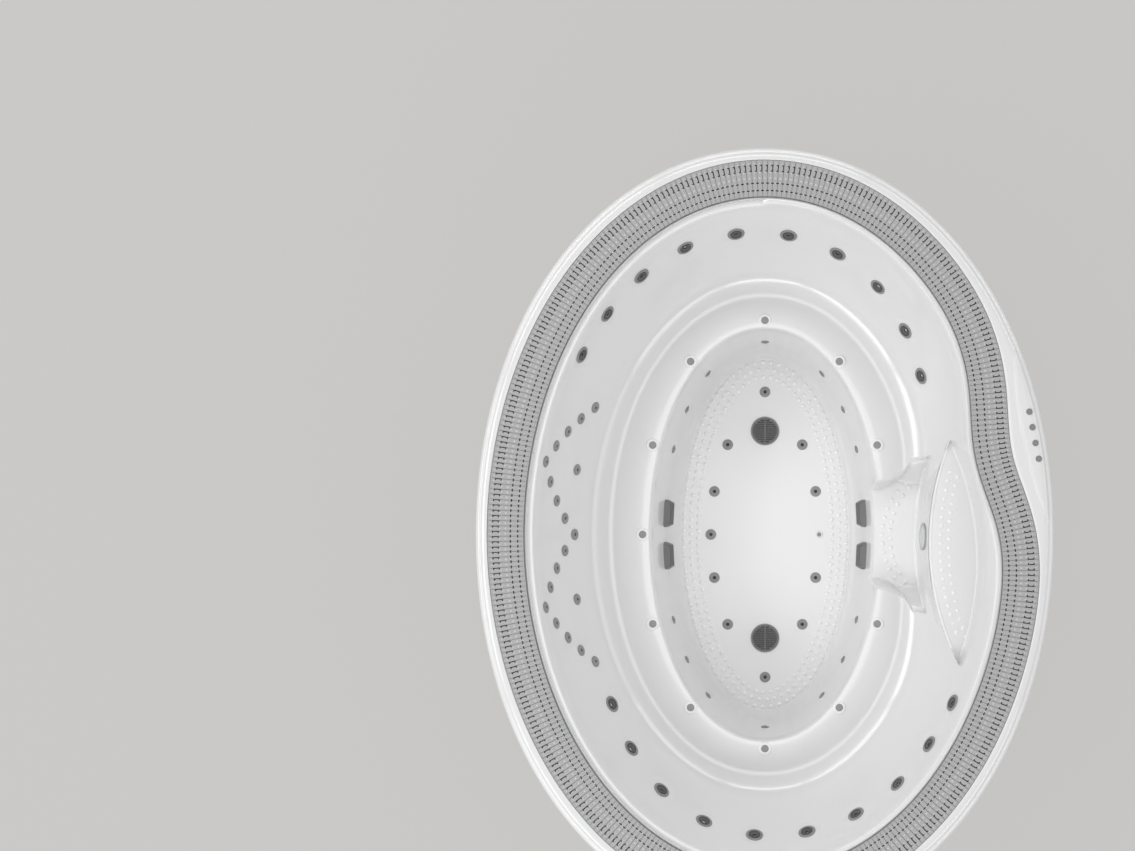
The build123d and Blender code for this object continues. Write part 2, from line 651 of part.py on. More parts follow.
def grating_section(walk):
    """One section: its bars lie on the ledges, and a spine of short links joins them."""
    bottom = RIM_TOP - GRATING_SINK - GRATING_DEPTH
    low = (Align.CENTER, Align.CENTER, Align.MIN)
    blocks = []
    for (x, y), outward in walk:
        plane = Plane(origin=(x, y, bottom), x_dir=(*outward, 0), z_dir=(0, 0, 1))
        blocks.append(plane.location * Box(GUTTER_WIDTH - 2 * GRATING_CLEAR, GRATING_BAR, GRATING_DEPTH, align=low))
    for (here, _), (there, _) in zip(walk, walk[1:]):
        run = Vector(there[0] - here[0], there[1] - here[1], 0)
        middle = ((here[0] + there[0]) / 2, (here[1] + there[1]) / 2, bottom)
        plane = Plane(origin=middle, x_dir=run, z_dir=(0, 0, 1))
        blocks.append(plane.location * Box(run.length - GRATING_BAR / 2, SPINE_WIDTH, GRATING_DEPTH, align=low))
    return blocks[0] + blocks[1:]


walk = gutter_walk()
for k in range(GRATING_SECTIONS):
    first = round(len(walk) * k / GRATING_SECTIONS)
    last = round(len(walk) * (k + 1) / GRATING_SECTIONS)
    save(grating_section(walk[first:last]), f"grating_{k + 1:02d}")


# Large jets: a flanged fitting through the wall, and a nozzle that turns on the shoulder in it

jet_fitting = prism(JET_FLANGE / 2, 0.0, JET_FLANGE_THICK, JET_SIDES)
jet_fitting = jet_fitting + prism(JET_BARREL / 2, -JET_BARREL_LENGTH, 0.0, JET_BARREL_SIDES)
nozzle_low = JET_FLANGE_THICK + JET_NOZZLE_PROUD - JET_NOZZLE_LENGTH
jet_fitting = jet_fitting - prism(JET_BORE / 2, nozzle_low - FIT_CLEAR, OVERRUN, JET_SIDES)
jet_fitting = jet_fitting - prism(JET_CHAMBER / 2, -JET_CHAMBER_DEPTH, 0.0, JET_BARREL_SIDES)
save(Compound(children=placed(jet_fitting, jet_spots)), "jet_fittings")

nozzle_face = Circle(JET_NOZZLE / 2)
nozzle_face = nozzle_face - Pos(0, JET_OUTLET_OFFSET) * RegularPolygon(JET_OUTLET / 2, JET_OUTLET_SIDES)
nozzle = Pos(0, 0, nozzle_low) * extrude(nozzle_face, JET_NOZZLE_LENGTH)
for k, plane in enumerate(jet_spots):
    save(plane.location * nozzle, f"jet_nozzle_{k + 1:02d}")


def hose_between(start, end):
    """A straight hose between two jet fittings, shaped to their barrels."""
    a = (start.offset(-JET_HOSE_DEPTH)).origin
    b = (end.offset(-JET_HOSE_DEPTH)).origin
    run = Plane(origin=a, z_dir=b - a).location * prism(HOSE / 2, 0.0, (b - a).length, PIPE_SIDES)
    barrel = prism(JET_BARREL / 2 + FIT_CLEAR, -JET_BARREL_LENGTH, 0.0, JET_BARREL_SIDES)
    return run - placed(barrel, [start, end])


hoses = []
for row in (jet_spots[:JET_COUNT], jet_spots[JET_COUNT:]):
    for i in range(JET_COUNT - 1):
        hoses.append(hose_between(row[i], row[i + 1]))
save(Compound(children=hoses), "jet_hoses")


# Small fixed fittings

def small_fitting(flange, barrel, low, outlet):
    """A round flange on a barrel, with a blind outlet in its face."""
    body = prism(flange / 2, low, low + SMALL_FLANGE_THICK, FLANGE_SIDES)
    body = body + prism(barrel / 2, low - SMALL_BARREL_LENGTH, low, BARREL_SIDES)
    if outlet > 0.0:
        body = body - prism(outlet / 2, low + SMALL_FLANGE_THICK - SMALL_OUTLET_DEPTH, OVERRUN, BARREL_SIDES)
    return body


back_jet = small_fitting(SMALL_FLANGE, SMALL_BARREL, SMALL_STAND, SMALL_OUTLET)
save(Compound(children=placed(back_jet, back_jet_spots)), "back_jets")
air_nozzle = small_fitting(AIR_FLANGE, SMALL_BARREL, 0.0, 0.0)
save(Compound(children=placed(air_nozzle, air_spots)), "air_nozzles")
inlet = small_fitting(INLET_FLANGE, INLET_BARREL, SMALL_STAND, SMALL_OUTLET)
save(Compound(children=placed(inlet, inlet_spots)), "footwell_inlets")
floor_jet = small_fitting(SMALL_FLANGE, SMALL_BARREL, 0.0, SMALL_OUTLET)
save(Compound(children=placed(floor_jet, floor_spots)), "floor_jets")
save(sensor_spot.location * small_fitting(SENSOR_FLANGE, SMALL_BARREL, 0.0, 0.0), "temperature_sensor")


# Floor drains: a sump through the floor and a slotted cover on its ledge

drain_radius = DRAIN_DIAMETER / 2
drain_seat = drain_radius - DRAIN_RIM
cover_low = DRAIN_RIM_RISE - DRAIN_COVER_THICK - DRAIN_COVER_CLEAR
sump = disc(drain_radius, -DRAIN_SUMP_DEPTH, DRAIN_RIM_RISE) - disc(drain_seat, cover_low, OVERRUN)
sump = sump - disc(drain_seat - DRAIN_LEDGE, DRAIN_LEDGE - DRAIN_SUMP_DEPTH, OVERRUN)
save(Compound(children=placed(sump, drain_spots)), "drain_sumps")

cover = disc(drain_seat - DRAIN_COVER_CLEAR, cover_low, cover_low + DRAIN_COVER_THICK)
slot_reach = drain_seat - DRAIN_COVER_CLEAR - DRAIN_RIM
slot_pitch = DRAIN_SLOT + DRAIN_BAR
slots = []
for i in range(-int(slot_reach / slot_pitch), int(slot_reach / slot_pitch) + 1):
    half = math.sqrt(max(slot_reach**2 - (abs(i) * slot_pitch + DRAIN_SLOT / 2) ** 2, 0.0))
    length = half - DRAIN_BAR / 2
    if length > DRAIN_SLOT:
        for side in (1.0, -1.0):
            middle = side * (DRAIN_BAR / 2 + length / 2)
            slots.append(Pos(middle, i * slot_pitch, cover_low) * Box(length, DRAIN_SLOT, OVERRUN))
cover = cover - slots
save(Compound(children=placed(cover, drain_spots)), "drain_covers")


# Suction fittings: a box behind the footwell wall and a raised slotted grille over it

inner_length, inner_width = SUCTION_LENGTH - 2 * SUCTION_CORNER, SUCTION_WIDTH - 2 * SUCTION_CORNER
box_size = (inner_length - 2 * FIT_CLEAR, inner_width - 2 * FIT_CLEAR)
suction_box = Pos(0, 0, -SUCTION_BOX_DEPTH) * extrude(Rectangle(*box_size), SUCTION_BOX_DEPTH - SEAT_DEPTH)
hollow = Rectangle(box_size[0] - 2 * PIPE_WALL, box_size[1] - 2 * PIPE_WALL)
suction_box = suction_box - Pos(0, 0, PIPE_WALL - SUCTION_BOX_DEPTH) * extrude(hollow, SUCTION_BOX_DEPTH)
save(Compound(children=placed(suction_box, suction_spots)), "suction_boxes")


def grille_block(inset, low, high):
    """A block with cut corners that leans in toward its top."""
    wires = []
    for lean, z in ((0.0, low), (SUCTION_LEAN, high)):
        x, y = SUCTION_LENGTH / 2 - inset - lean, SUCTION_WIDTH / 2 - inset - lean
        cut = SUCTION_CORNER
        corners = [(x, y - cut), (x - cut, y), (cut - x, y), (-x, y - cut)]
        corners += [(-x, cut - y), (cut - x, -y), (x - cut, -y), (x, cut - y)]
        wires.append(Wire.make_polygon([(*corner, z) for corner in corners]))
    return Solid.make_loft(wires, True)


grille = grille_block(0.0, -SEAT_DEPTH, SUCTION_RISE)
grille = grille - grille_block(SUCTION_WALL, -SEAT_DEPTH - FIT_CLEAR, SUCTION_RISE - SUCTION_WALL)
slot_width = (inner_width - (SUCTION_SLOTS - 1) * SUCTION_BAR) / SUCTION_SLOTS
slots = []
for i in range(SUCTION_SLOTS):
    shift = (i - (SUCTION_SLOTS - 1) / 2) * (slot_width + SUCTION_BAR)
    slots.append(Pos(0, shift, SUCTION_RISE) * Box(inner_length - 2 * SUCTION_BAR, slot_width, SUCTION_RISE))
grille = grille - slots
save(Compound(children=placed(grille, suction_spots)), "suction_grilles")


# Underwater light on the riser

light_low = -SEAT_DEPTH
light_housing = disc(LIGHT_HOUSING / 2, light_low - LIGHT_HOUSING_DEPTH, light_low)
light_bezel = disc(LIGHT_BEZEL / 2, light_low, light_low + LIGHT_BEZEL_THICK)
light_bezel = light_bezel - disc(LIGHT_LENS / 2 + FIT_CLEAR, light_low - FIT_CLEAR, OVERRUN)
dome_radius = (LIGHT_LENS**2 / 4 + LIGHT_LENS_RISE**2) / (2 * LIGHT_LENS_RISE)
light_lens = disc(LIGHT_LENS / 2, light_low, light_low + LIGHT_BEZEL_THICK)
dome = Pos(0, 0, light_low + LIGHT_BEZEL_THICK + LIGHT_LENS_RISE - dome_radius) * Sphere(dome_radius)
light_lens = light_lens & dome
save(light_spot.location * light_housing, "light_housing")
save(light_spot.location * light_bezel, "light_bezel")
save(light_spot.location * light_lens, "light_lens")


# Push buttons: a socket through the panel and a sprung cap

socket_bore = BUTTON_CAP / 2 + FIT_CLEAR
button_socket = prism(BUTTON_SOCKET / 2, -BUTTON_SOCKET_DEPTH, 0.0, BUTTON_SIDES)
button_socket = button_socket + prism(BUTTON_BEZEL / 2, 0.0, BUTTON_BEZEL_RISE, BUTTON_SIDES)
button_socket = button_socket - prism(socket_bore, BUTTON_SOCKET_FLOOR - BUTTON_SOCKET_DEPTH, OVERRUN, BUTTON_SIDES)
save(Compound(children=placed(button_socket, button_spots)), "button_sockets")
button = prism(BUTTON_CAP / 2, -BUTTON_CAP_DEPTH, BUTTON_CAP_RISE, BUTTON_SIDES)
button = button + prism(BUTTON_STEM / 2, -BUTTON_CAP_DEPTH - BUTTON_STEM_LENGTH, -BUTTON_CAP_DEPTH, BARREL_SIDES)
for k, plane in enumerate(button_spots):
    save(plane.location * button, f"button_{k + 1:02d}")


# The support frame

def gutter_x(y, side):
    """X of the middle of the gutter at a Y."""
    low, high = (0.0, 90.0) if side > 0.0 else (90.0, 180.0)
    sign = 1.0 if y >= 0.0 else -1.0
    for _ in range(SEARCH_HALVINGS):
        middle = (low + high) / 2
        reach = ring_point(GUTTER, sign * middle)[0][1] * sign
        if (reach < abs(y)) == (side > 0.0):
            low = middle
        else:
            high = middle
    return ring_point(GUTTER, sign * (low + high) / 2)[0][0]


posts_at = []
for y in CROSS_RAIL_PLACES:
    for sign in (1.0, -1.0):
        for side in (1.0, -1.0):
            posts_at.append((gutter_x(sign * y, side), sign * y))
for sign in (1.0, -1.0):
    for angle in END_POST_ANGLES:
        posts_at.append(ring_point(GUTTER, sign * angle)[0])
posts_at.sort(key=lambda place: math.atan2(place[1], place[0]))
trough_bottom = RIM_TOP - GUTTER_DEPTH - SHELL_THICK


def tube_between(start, end, low):
    """A square tube lying between two places, with open ends."""
    run = Vector(end[0] - start[0], end[1] - start[1], 0)
    plane = Plane(origin=(*start, low + TUBE / 2), x_dir=(0, 0, 1), z_dir=run)
    inner = TUBE - 2 * TUBE_WALL
    return plane.location * extrude(Rectangle(TUBE, TUBE) - Rectangle(inner, inner), run.length)


def rail_block(start, end):
    """The solid outline of a rail, to end another rail at."""
    run = Vector(end[0] - start[0], end[1] - start[1], 0)
    plane = Plane(origin=(*start, RAIL_BOTTOM + TUBE / 2), x_dir=(0, 0, 1), z_dir=run)
    return plane.location * extrude(Rectangle(2 * TUBE, TUBE), run.length)


def post_box(place, low, high, size):
    """A square block standing at a place."""
    return Pos(place[0], place[1], low) * Box(size, size, high - low, align=(Align.CENTER, Align.CENTER, Align.MIN))


post_blocks = [post_box(place, RAIL_BOTTOM - OVERRUN, trough_bottom, TUBE) for place in posts_at]
posts = []
for place in posts_at:
    post = post_box(place, RAIL_BOTTOM, trough_bottom - POST_HEAD_THICK, TUBE)
    post = post - post_box(place, RAIL_BOTTOM + TUBE_WALL, trough_bottom, TUBE - 2 * TUBE_WALL)
    posts.append(post + post_box(place, trough_bottom - POST_HEAD_THICK, trough_bottom, POST_HEAD_SIZE))
save(Compound(children=posts), "frame_posts")
ring_rails = []
ring_blocks = []
for i in range(len(posts_at)):
    j = (i + 1) % len(posts_at)
    ring_rails.append(tube_between(posts_at[i], posts_at[j], RAIL_BOTTOM) - [post_blocks[i], post_blocks[j]])
    ring_blocks.append(rail_block(posts_at[i], posts_at[j]))
save(Compound(children=ring_rails), "frame_ring_rails")
cross_rails = []
for y in CROSS_RAIL_PLACES:
    for sign in (1.0, -1.0):
        ends = [i for i in range(len(posts_at)) if abs(posts_at[i][1] - sign * y) < TUBE_WALL]
        left, right = sorted(ends, key=lambda i: posts_at[i][0])
        rail = tube_between(posts_at[left], posts_at[right], RAIL_BOTTOM)
        touching = [post_blocks[left], post_blocks[right]]
        for i in (left, right):
            touching += [ring_blocks[i], ring_blocks[i - 1]]
        cross_rails.append(rail - touching)
save(Compound(children=cross_rails), "frame_cross_rails")

feet_at = [level_spot(*place, 0.0) for place in posts_at]
save(Compound(children=placed(prism(FOOT_DIAMETER / 2, 0.0, FOOT_THICK, FOOT_SIDES), feet_at)), "foot_pads")
save(Compound(children=placed(prism(STUD_DIAMETER / 2, FOOT_THICK, RAIL_BOTTOM, STUD_SIDES), feet_at)), "foot_studs")
nut_face = RegularPolygon(LOCK_NUT_WIDTH / 2, NUT_SIDES) - RegularPolygon(STUD_DIAMETER / 2 + FIT_CLEAR, STUD_SIDES)
nut = extrude(nut_face, LOCK_NUT_THICK)
save(Compound(children=placed(Pos(0, 0, RAIL_BOTTOM - LOCK_NUT_THICK) * nut, feet_at)), "foot_lock_nuts")


# Pipework

def pipe_run(points, radius):
    """A pipe through a list of points, with a square elbow fitting at each corner."""
    runs = []
    for start, end in zip(points, points[1:]):
        a, b = Vector(*start), Vector(*end)
        runs.append(Plane(origin=a, z_dir=b - a).location * prism(radius, 0.0, (b - a).length, PIPE_SIDES))
    size = 2 * (radius + ELBOW_WALL)
    elbows = [Pos(*place) * Box(size, size, size) for place in points[1:-1]]
    return runs[0] + (runs[1:] + elbows) if len(points) > 2 else runs[0]


def union_end(place, direction):
    """A union collar at the end of a pipe, and the bore to cut from it."""
    plane = Plane(origin=place, z_dir=direction)
    collar = plane.location * disc(UNION_DIAMETER / 2, -UNION_LENGTH, 0.0)
    bore = plane.location * disc(PIPE / 2 - PIPE_WALL, -UNION_LENGTH, OVERRUN)
    return collar, bore


pipe_radius = PIPE / 2
drain_route = []
for side in (1.0, -1.0):
    y = side * DRAIN_Y
    drain_route.append((-drain_radius - FIT_CLEAR + PIPE_WALL, y, DRAIN_PIPE_HEIGHT))
    drain_route.append((DRAIN_PIPE_X, y, DRAIN_PIPE_HEIGHT))
    drain_route.append((DRAIN_PIPE_X, y, DRAIN_COLLECTOR_HEIGHT))
route = drain_route[:3] + list(reversed(drain_route[3:]))
drain_end = (-UNION_X, 0.0, DRAIN_COLLECTOR_HEIGHT)
collar, bore = union_end(drain_end, (-1, 0, 0))
drain_middle = (DRAIN_PIPE_X, 0.0, DRAIN_COLLECTOR_HEIGHT)
drain_pipes = pipe_run(route, pipe_radius) + pipe_run([drain_middle, drain_end], pipe_radius)
sump_blocks = [Pos(0, plane.origin.Y, 0) * disc(drain_radius + FIT_CLEAR, 0.0, FLOOR_TOP) for plane in drain_spots]
drain_pipes = (drain_pipes + collar) - bore - sump_blocks
save(drain_pipes, "drain_pipes")

suction_pipes = []
for side in (1.0, -1.0):
    boxes = [plane for plane in suction_spots if plane.origin.X * side > 0.0]
    backs = [plane.offset(-SUCTION_BOX_DEPTH).origin for plane in boxes]
    height = sum(back.Z for back in backs) / len(backs)
    shape = None
    x = side * SUCTION_PIPE_X
    stubs = []
    for plane, back in zip(boxes, backs):
        stub = pipe_run([tuple(plane.offset(-SUCTION_BOX_DEPTH / 2).origin), (x, back.Y, height)], HOSE / 2)
        shape = stub if shape is None else shape + stub
        block = Pos(0, 0, -SUCTION_BOX_DEPTH - FIT_CLEAR) * extrude(Rectangle(*box_size), SUCTION_BOX_DEPTH)
        stubs.append(plane.location * block)
    ys = sorted(back.Y for back in backs)
    end = (side * UNION_X, 0.0, height)
    collar, bore = union_end(end, (side, 0, 0))
    shape = shape + pipe_run([(x, ys[0] - HOSE / 2, height), (x, ys[1] + HOSE / 2, height)], pipe_radius)
    shape = shape + pipe_run([(x, 0.0, height), end], pipe_radius) + collar
    suction_pipes.append(shape - bore - stubs)
save(Compound(children=suction_pipes), "suction_pipes")

outlet = disc(GUTTER_OUTLET_FLANGE / 2, 0.0, GUTTER_OUTLET_FLANGE_THICK)
outlet = outlet + disc(GUTTER_OUTLET / 2, -GUTTER_OUTLET_LENGTH, 0.0)
outlet = outlet - disc(GUTTER_OUTLET / 2 - PIPE_WALL, -GUTTER_OUTLET_LENGTH, OVERRUN)
save(Compound(children=placed(outlet, outlet_spots)), "gutter_outlets")

channel_top = BENCH_TOP - SHELL_THICK
channel_low = channel_top - AIR_CHANNEL_DEPTH
hollow_half = AIR_CHANNEL_HALF_WIDTH - AIR_CHANNEL_WALL
channel = ring_slab(
    BENCH_EDGE, AIR_NOZZLE_INSET + AIR_CHANNEL_HALF_WIDTH, channel_low, channel_top,
    BENCH_EDGE, AIR_NOZZLE_INSET - AIR_CHANNEL_HALF_WIDTH,
)
channel = channel - ring_slab(
    BENCH_EDGE, AIR_NOZZLE_INSET + hollow_half, channel_low + AIR_CHANNEL_WALL, channel_top,
    BENCH_EDGE, AIR_NOZZLE_INSET - hollow_half,
)
gap = Pos(BENCH_EDGE_HALF_WIDTH, 0, channel_top) * Box(BENCH_EDGE_HALF_WIDTH, 2 * AIR_CHANNEL_GAP_Y, 2 * AIR_CHANNEL_DEPTH + OVERRUN)
save(channel - gap, "air_channel")
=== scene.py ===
import json
import math

import bpy
import numpy as np
from mathutils import Matrix, Vector
from mathutils.geometry import delaunay_2d_cdt


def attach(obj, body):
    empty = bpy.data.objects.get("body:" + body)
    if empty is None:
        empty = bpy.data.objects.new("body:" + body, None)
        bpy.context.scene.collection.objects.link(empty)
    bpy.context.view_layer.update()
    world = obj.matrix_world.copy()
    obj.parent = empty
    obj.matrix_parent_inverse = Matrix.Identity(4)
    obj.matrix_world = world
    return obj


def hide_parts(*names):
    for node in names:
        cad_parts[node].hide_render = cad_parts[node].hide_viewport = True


# An oval overflow hot tub. Sizes below are in millimetres, and meshes are written in metres.
MM = 0.001

# Heights above the floor
RIM_TOP = 1040.0
LIP_TOP = 1030.0
LEAF_STEP_TOP = 800.0
CREASE_TOP = 625.0
BENCH_TOP = 590.0
LOWER_STEP_TOP = 490.0
FLOOR_TOP = 140.0

# The shell's rings: half width, half length, fullness, dent, dent angle, dent spread
RIM = (1235.0, 1650.0, 2.05, 0.0, 0.0, 1.0)
GUTTER = (1104.5, 1516.0, 2.0, 103.0, 20.0, 12.5)
LIP = (988.5, 1400.0, 2.0, 98.0, 20.0, 13.0)
CREASE = (788.0, 1158.0, 2.03, 112.0, -3.0, 21.5)
BENCH_EDGE = (509.0, 918.0, 2.06, 0.0, 0.0, 1.0)
FLOOR_EDGE = (415.0, 840.0, 2.04, 0.0, 0.0, 1.0)
SHELL_THICK = 10.0
RIM_SKIRT_DEPTH = 60.0
RIM_SKIRT_MIDDLE = 46.0
RIM_EDGE_ROUND = 22.0
RIM_FALL = 10.0
RIM_FALL_REACH = 30.0
RIM_EDGE_STEPS = 7
GUTTER_SEAT = 78.0
GUTTER_LEDGE = 66.0
GUTTER_BOTTOM = 890.0
LEDGE_TOP = 1014.0
LIP_ROUND = 9.0
RIM_INNER_ROUND = 5.0

# Wall profile: share of the way out against share of the way up
WALL_STEEP = 1.461
WALL_BEND = 0.461
WALL_MOST = 1.12
CREASE_SLOPE = 35.0 / 55.0
CREASE_BLEND = 36.0
WALL_FOOT_BLEND = 14.0
LIP_BLEND = 60.0
LIP_CROWN = 3.0
LIP_CROWN_REACH = 2.0
# The crown counts from this share of the way out, and the wall keeps this slope past its top
LIP_CROWN_FROM = 0.5
WALL_PAST_SLOPE = 4.0
# A height that no surface of the shell reaches
FAR_ABOVE = 2.0 * LIP_TOP

# Dished seat
SEAT_SWING = 10.0
SEAT_CREST_SHARE = 0.12
SEAT_HALF_WAVE = 0.63

# Footwell
BENCH_BLEND = 46.0
FLOOR_BLEND = 160.0

# Entry steps
LEAF_UPPER_TIP = (809.0, 403.0)
LEAF_LOWER_TIP = (844.0, -554.0)
LEAF_INNER_MIDDLE = (722.0, -45.0)
LEAF_OUTER_MIDDLE = (926.0, -70.0)
LEAF_WALL_SLOPE = 185.0 / 22.0
LEAF_BLEND = 40.0
LEAF_REACH = 700.0
# The riser's foot: X and Y of its middle, and its radius
RISER_FOOT = (678.0, -30.0, 1415.0)
RISER_BLEND = 34.0
RISER_HEAD_BLEND = 8.0
FAN_HALF_MOUTH = 200.0
FAN_MOUTH_X = 505.0
FAN_MIDDLE = (590.0, 238.0)
FAN_TIP = (656.0, 340.0)
FAN_SLOPE = 0.34
FAN_TIP_SLOPE = 0.2
FAN_BACK_SLOPE = 8.0
FAN_TIP_RISE = 112.0
FAN_TIP_REACH = 120.0
FAN_BLEND = 26.0

# Control panel on the rim
PANEL_RISE = 3.0
PANEL_START = (1062.0, 930.0)
PANEL_MIDDLE = (1086.0, 480.0)
PANEL_END = (1216.0, 30.0)
PANEL_STEP = 7.0

# Jet dimples
DIMPLE_RADIUS = 58.0
DIMPLE_FLAT = 44.0
DIMPLE_DEPTH = 4.0
# How far the flange's plane lies in front of its nozzle's joint
NOZZLE_MIDDLE = 9.0

# Mesh density, with steps round the shell in degrees
RING_STEP = 0.1
GUTTER_STEP = 0.05
TANGENT_STEP = 0.05
SHARE_STEP = 0.01
INSIDE_START_GAP = 1.0
CORNER_STEPS = 4
ENTRY_FROM = -48.0
ENTRY_TO = 52.0
ENTRY_STEP = 0.35
ROUND_STEP = 0.6
INSIDE_SAMPLES = 1300
INSIDE_ROWS = 210
INSIDE_TURN_COST = 130.0
ROW_SMOOTHING_REACH = 14
ROW_SMOOTHING_SPREAD = 6.0
RIM_SAMPLES = 240
RIM_ROWS = 22
RIM_TURN_COST = 40.0
HOLE_SIDES = 72
JET_SIDES = 48
THROAT_SIDES = 20
NOZZLE_SIDES = 40
SMALL_SIDES = 36
PLUG_SIDES = 24
PIN_SIDES = 10
BEAD_SIDES = 8
DOME_SIDES = 14
DOME_RINGS = 4
ARC_POINTS = 60
# The flat floor starts at this share of the floor's edge, and its holes at this share of a drain's radius
FLOOR_PART = 0.86
HOLE_INSIDE = 0.98
FLOOR_MERGE = 0.0001
# A rounding goes no further along an edge than the edge's length divided by this
CUT_PART = 2.2
# A length or distance under this counts as none
TINY = 0.01
# Edges that turn by more degrees than this are drawn sharp
PIECE_SHARP = 40.0
SHELL_SHARP = 50.0

# Fittings
JET_FLANGE = 76.0
JET_BARREL = 60.0
JET_BARREL_LENGTH = 58.0
JET_BORE = 51.0
NOZZLE_RADIUS = 25.1
NOZZLE_PROUD = 8.0
NOZZLE_LOW = -26.0
OUTLET_RADIUS = 9.0
OUTLET_OFFSET = 10.0
THROAT_RADIUS = OUTLET_RADIUS - 1.6
THROAT_TOP = -0.4
THROAT_LOW = -0.9
SECTION_ROUND = 0.8
SECTION_ROUND_STEPS = 2
SMALL_FLANGE = 50.0
SMALL_BARREL = 28.0
SMALL_BARREL_LENGTH = 46.0
SMALL_STAND = 1.0
SMALL_THICK = 4.0
BACK_JET_MOUTH = 6.5
AIR_FLANGE = 56.0
AIR_MOUTH = 17.0
INLET_FLANGE = 36.0
INLET_BARREL = 22.0
INLET_MOUTH = 6.0
FLOOR_JET_MOUTH = 8.0
SENSOR_FLANGE = 36.0
SENSOR_MOUTH = 10.0
MOUTH_DEPTH = 3.0
MOUTH_LIP = 4.0
MOUTH_LIP_RISE = 0.6
FLANGE_EDGE = 3.0
FLANGE_EDGE_DROP = 0.4
FLANGE_EDGE_HEIGHT = 1.2
PLUG_DROP = 2.2
PLUG_GAP = 0.2
PLUG_THICK = 2.0
PLUG_ROUND = 0.6
BACK_JET_COUNT = 17
BACK_JET_ANGLE_STEP = 4.6
BACK_JET_LOW_SHARE = 0.19
BACK_JET_STEP_SHARE = 0.157
BACK_JET_TURN = 4
BACK_JET_PAIR_ANGLE = 19.0
BACK_JET_PAIR_SHARE = 0.23
AIR_NOZZLE_ANGLES = (40.0, 68.0, 90.0, 112.0, 140.0, 180.0, 220.0, 248.0, 270.0, 292.0, 320.0)
AIR_NOZZLE_INSET = 37.0
INLET_ANGLES = (43.0, 58.0, 70.5, 90.0, 109.5, 122.0, 137.0)
INLET_HEIGHT = 370.0
FLOOR_JET_X_SHARES = (0.0, 0.42, 0.57, 0.61, 0.57, 0.42, 0.0)
FLOOR_JET_Y_SHARES = (0.794, 0.50, 0.24, 0.0, -0.24, -0.50, -0.794)
DRAIN_Y = 484.0
DRAIN_RADIUS = 67.3

# Grating
GRATING_PITCH = 22.0
GRATING_HALF = 76.5
GRATING_TOP = 1038.0
GRATING_LOW = 1014.0
GRATING_SPINE_LOW = 1006.0
GRATING_SPINE_HALF = 8.0
GRATING_SECTIONS = 8
GRATING_EDGE_ROUND = 1.0
# One cross bar: where a stretch ends across the gutter, and its reach ahead and behind
GRATING_STRETCHES = (
    (57.5, 10.5, 10.5),
    (52.5, 10.5, 3.0),
    (33.0, 10.5, 7.6),
    (28.0, 10.5, 3.0),
    (-18.5, 10.5, 10.5),
    (-23.5, 4.6, 4.6),
    (-50.0, 10.5, 10.5),
    (-55.0, 4.6, 4.6),
    (-76.5, 10.5, 10.5),
)
# Light pins on the bars: how far across, and their radius
GRATING_PINS = ((0.0, 4.6), (62.0, 3.0), (24.0, 3.4), (-21.0, 3.0), (-52.5, 3.0))
PIN_DEPTH = 4.0
PIN_RISE = 0.6
PIN_ROUND = 1.2

# The steps' edges
TREAD_RISE = 1.2
BEAD_RADIUS = 5.5
FOOT_BEAD_ENDS = (-330.0, 300.0)

# Grip domes
DOME_RADIUS = 10.5
DOME_RISE = 4.0
DOME_FULLNESS = 3
DOME_FOOT = 1.0
DOME_PITCH = 38.8
DOME_ROW_MOST = 12
# Rows of domes: how far in they lie, and from where to where they run along Y
FLOOR_ROW_INSETS = (34.0, 68.0, 102.0)
STEP_ROW_ARC = ((645.0, 240.0), (528.0, 0.0), (634.0, -252.0))
STEP_ROW_INSETS = (0.0, 36.0)
STEP_ROW_REACH = (-250.0, 245.0)
LEAF_ROW_INSETS = (44.0, 80.0)
LEAF_ROW_REACH = (-455.0, 285.0)

# Materials: the depth of the grain in metres, and where the mottle's two tones end
GRAIN_DEPTH = 0.0005
GRAIN_SCALE = 300.0
MOTTLE_ENDS = (0.35, 0.65)
MOTTLE_SCALE = 35.0

# Camera and light
IMAGE_WIDTH = 1135.0
IMAGE_HEIGHT = 851.0
MIDDLE_PX = (765.0, 534.5)
MM_PER_PX = 4.2526
CAMERA_ABOVE_RIM = 9000.0
SENSOR = 36.0
# In metres
CAMERA_REACH = 100.0
WORLD_STRENGTH = 0.4
OVERHEAD_POWER = 50.0
OVERHEAD_SIZE = (3000.0, 3000.0)
OVERHEAD_HEIGHT = 10000.0
GROUND_SIZE = 30000.0
GROUND_GLOW = 0.85
GROUND_COLOUR = (202, 201, 199)
GROUND_ROUGHNESS = 0.9
LAMP_TARGET = (0.0, 0.0, 800.0)
RING_LAMP_AWAY = 7500.0
RING_LAMP_HEIGHT = 6500.0
RING_LAMP_SIZE = (5600.0, 1500.0)
# Power of the lamps round the tub, from +X on, anticlockwise
RING_LAMP_POWERS = (36.0, 70.0, 100.0, 110.0, 140.0, 125.0, 125.0, 75.0)

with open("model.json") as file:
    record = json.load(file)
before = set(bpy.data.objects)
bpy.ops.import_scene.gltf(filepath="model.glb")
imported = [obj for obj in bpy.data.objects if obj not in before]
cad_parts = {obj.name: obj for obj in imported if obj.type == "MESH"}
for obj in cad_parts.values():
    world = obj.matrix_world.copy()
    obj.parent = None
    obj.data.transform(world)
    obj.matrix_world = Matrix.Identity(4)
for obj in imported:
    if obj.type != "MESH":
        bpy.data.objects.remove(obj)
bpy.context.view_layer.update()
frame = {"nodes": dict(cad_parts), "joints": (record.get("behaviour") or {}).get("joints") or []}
TUB = "tub"


# Small helpers

def linear(value):
    """A 0 to 255 screen value as light."""
    share = value / 255.0
    return share / 12.92 if share <= 0.04045 else ((share + 0.055) / 1.055) ** 2.4


def colour(*rgb):
    return tuple(linear(v) for v in rgb) + (1.0,)


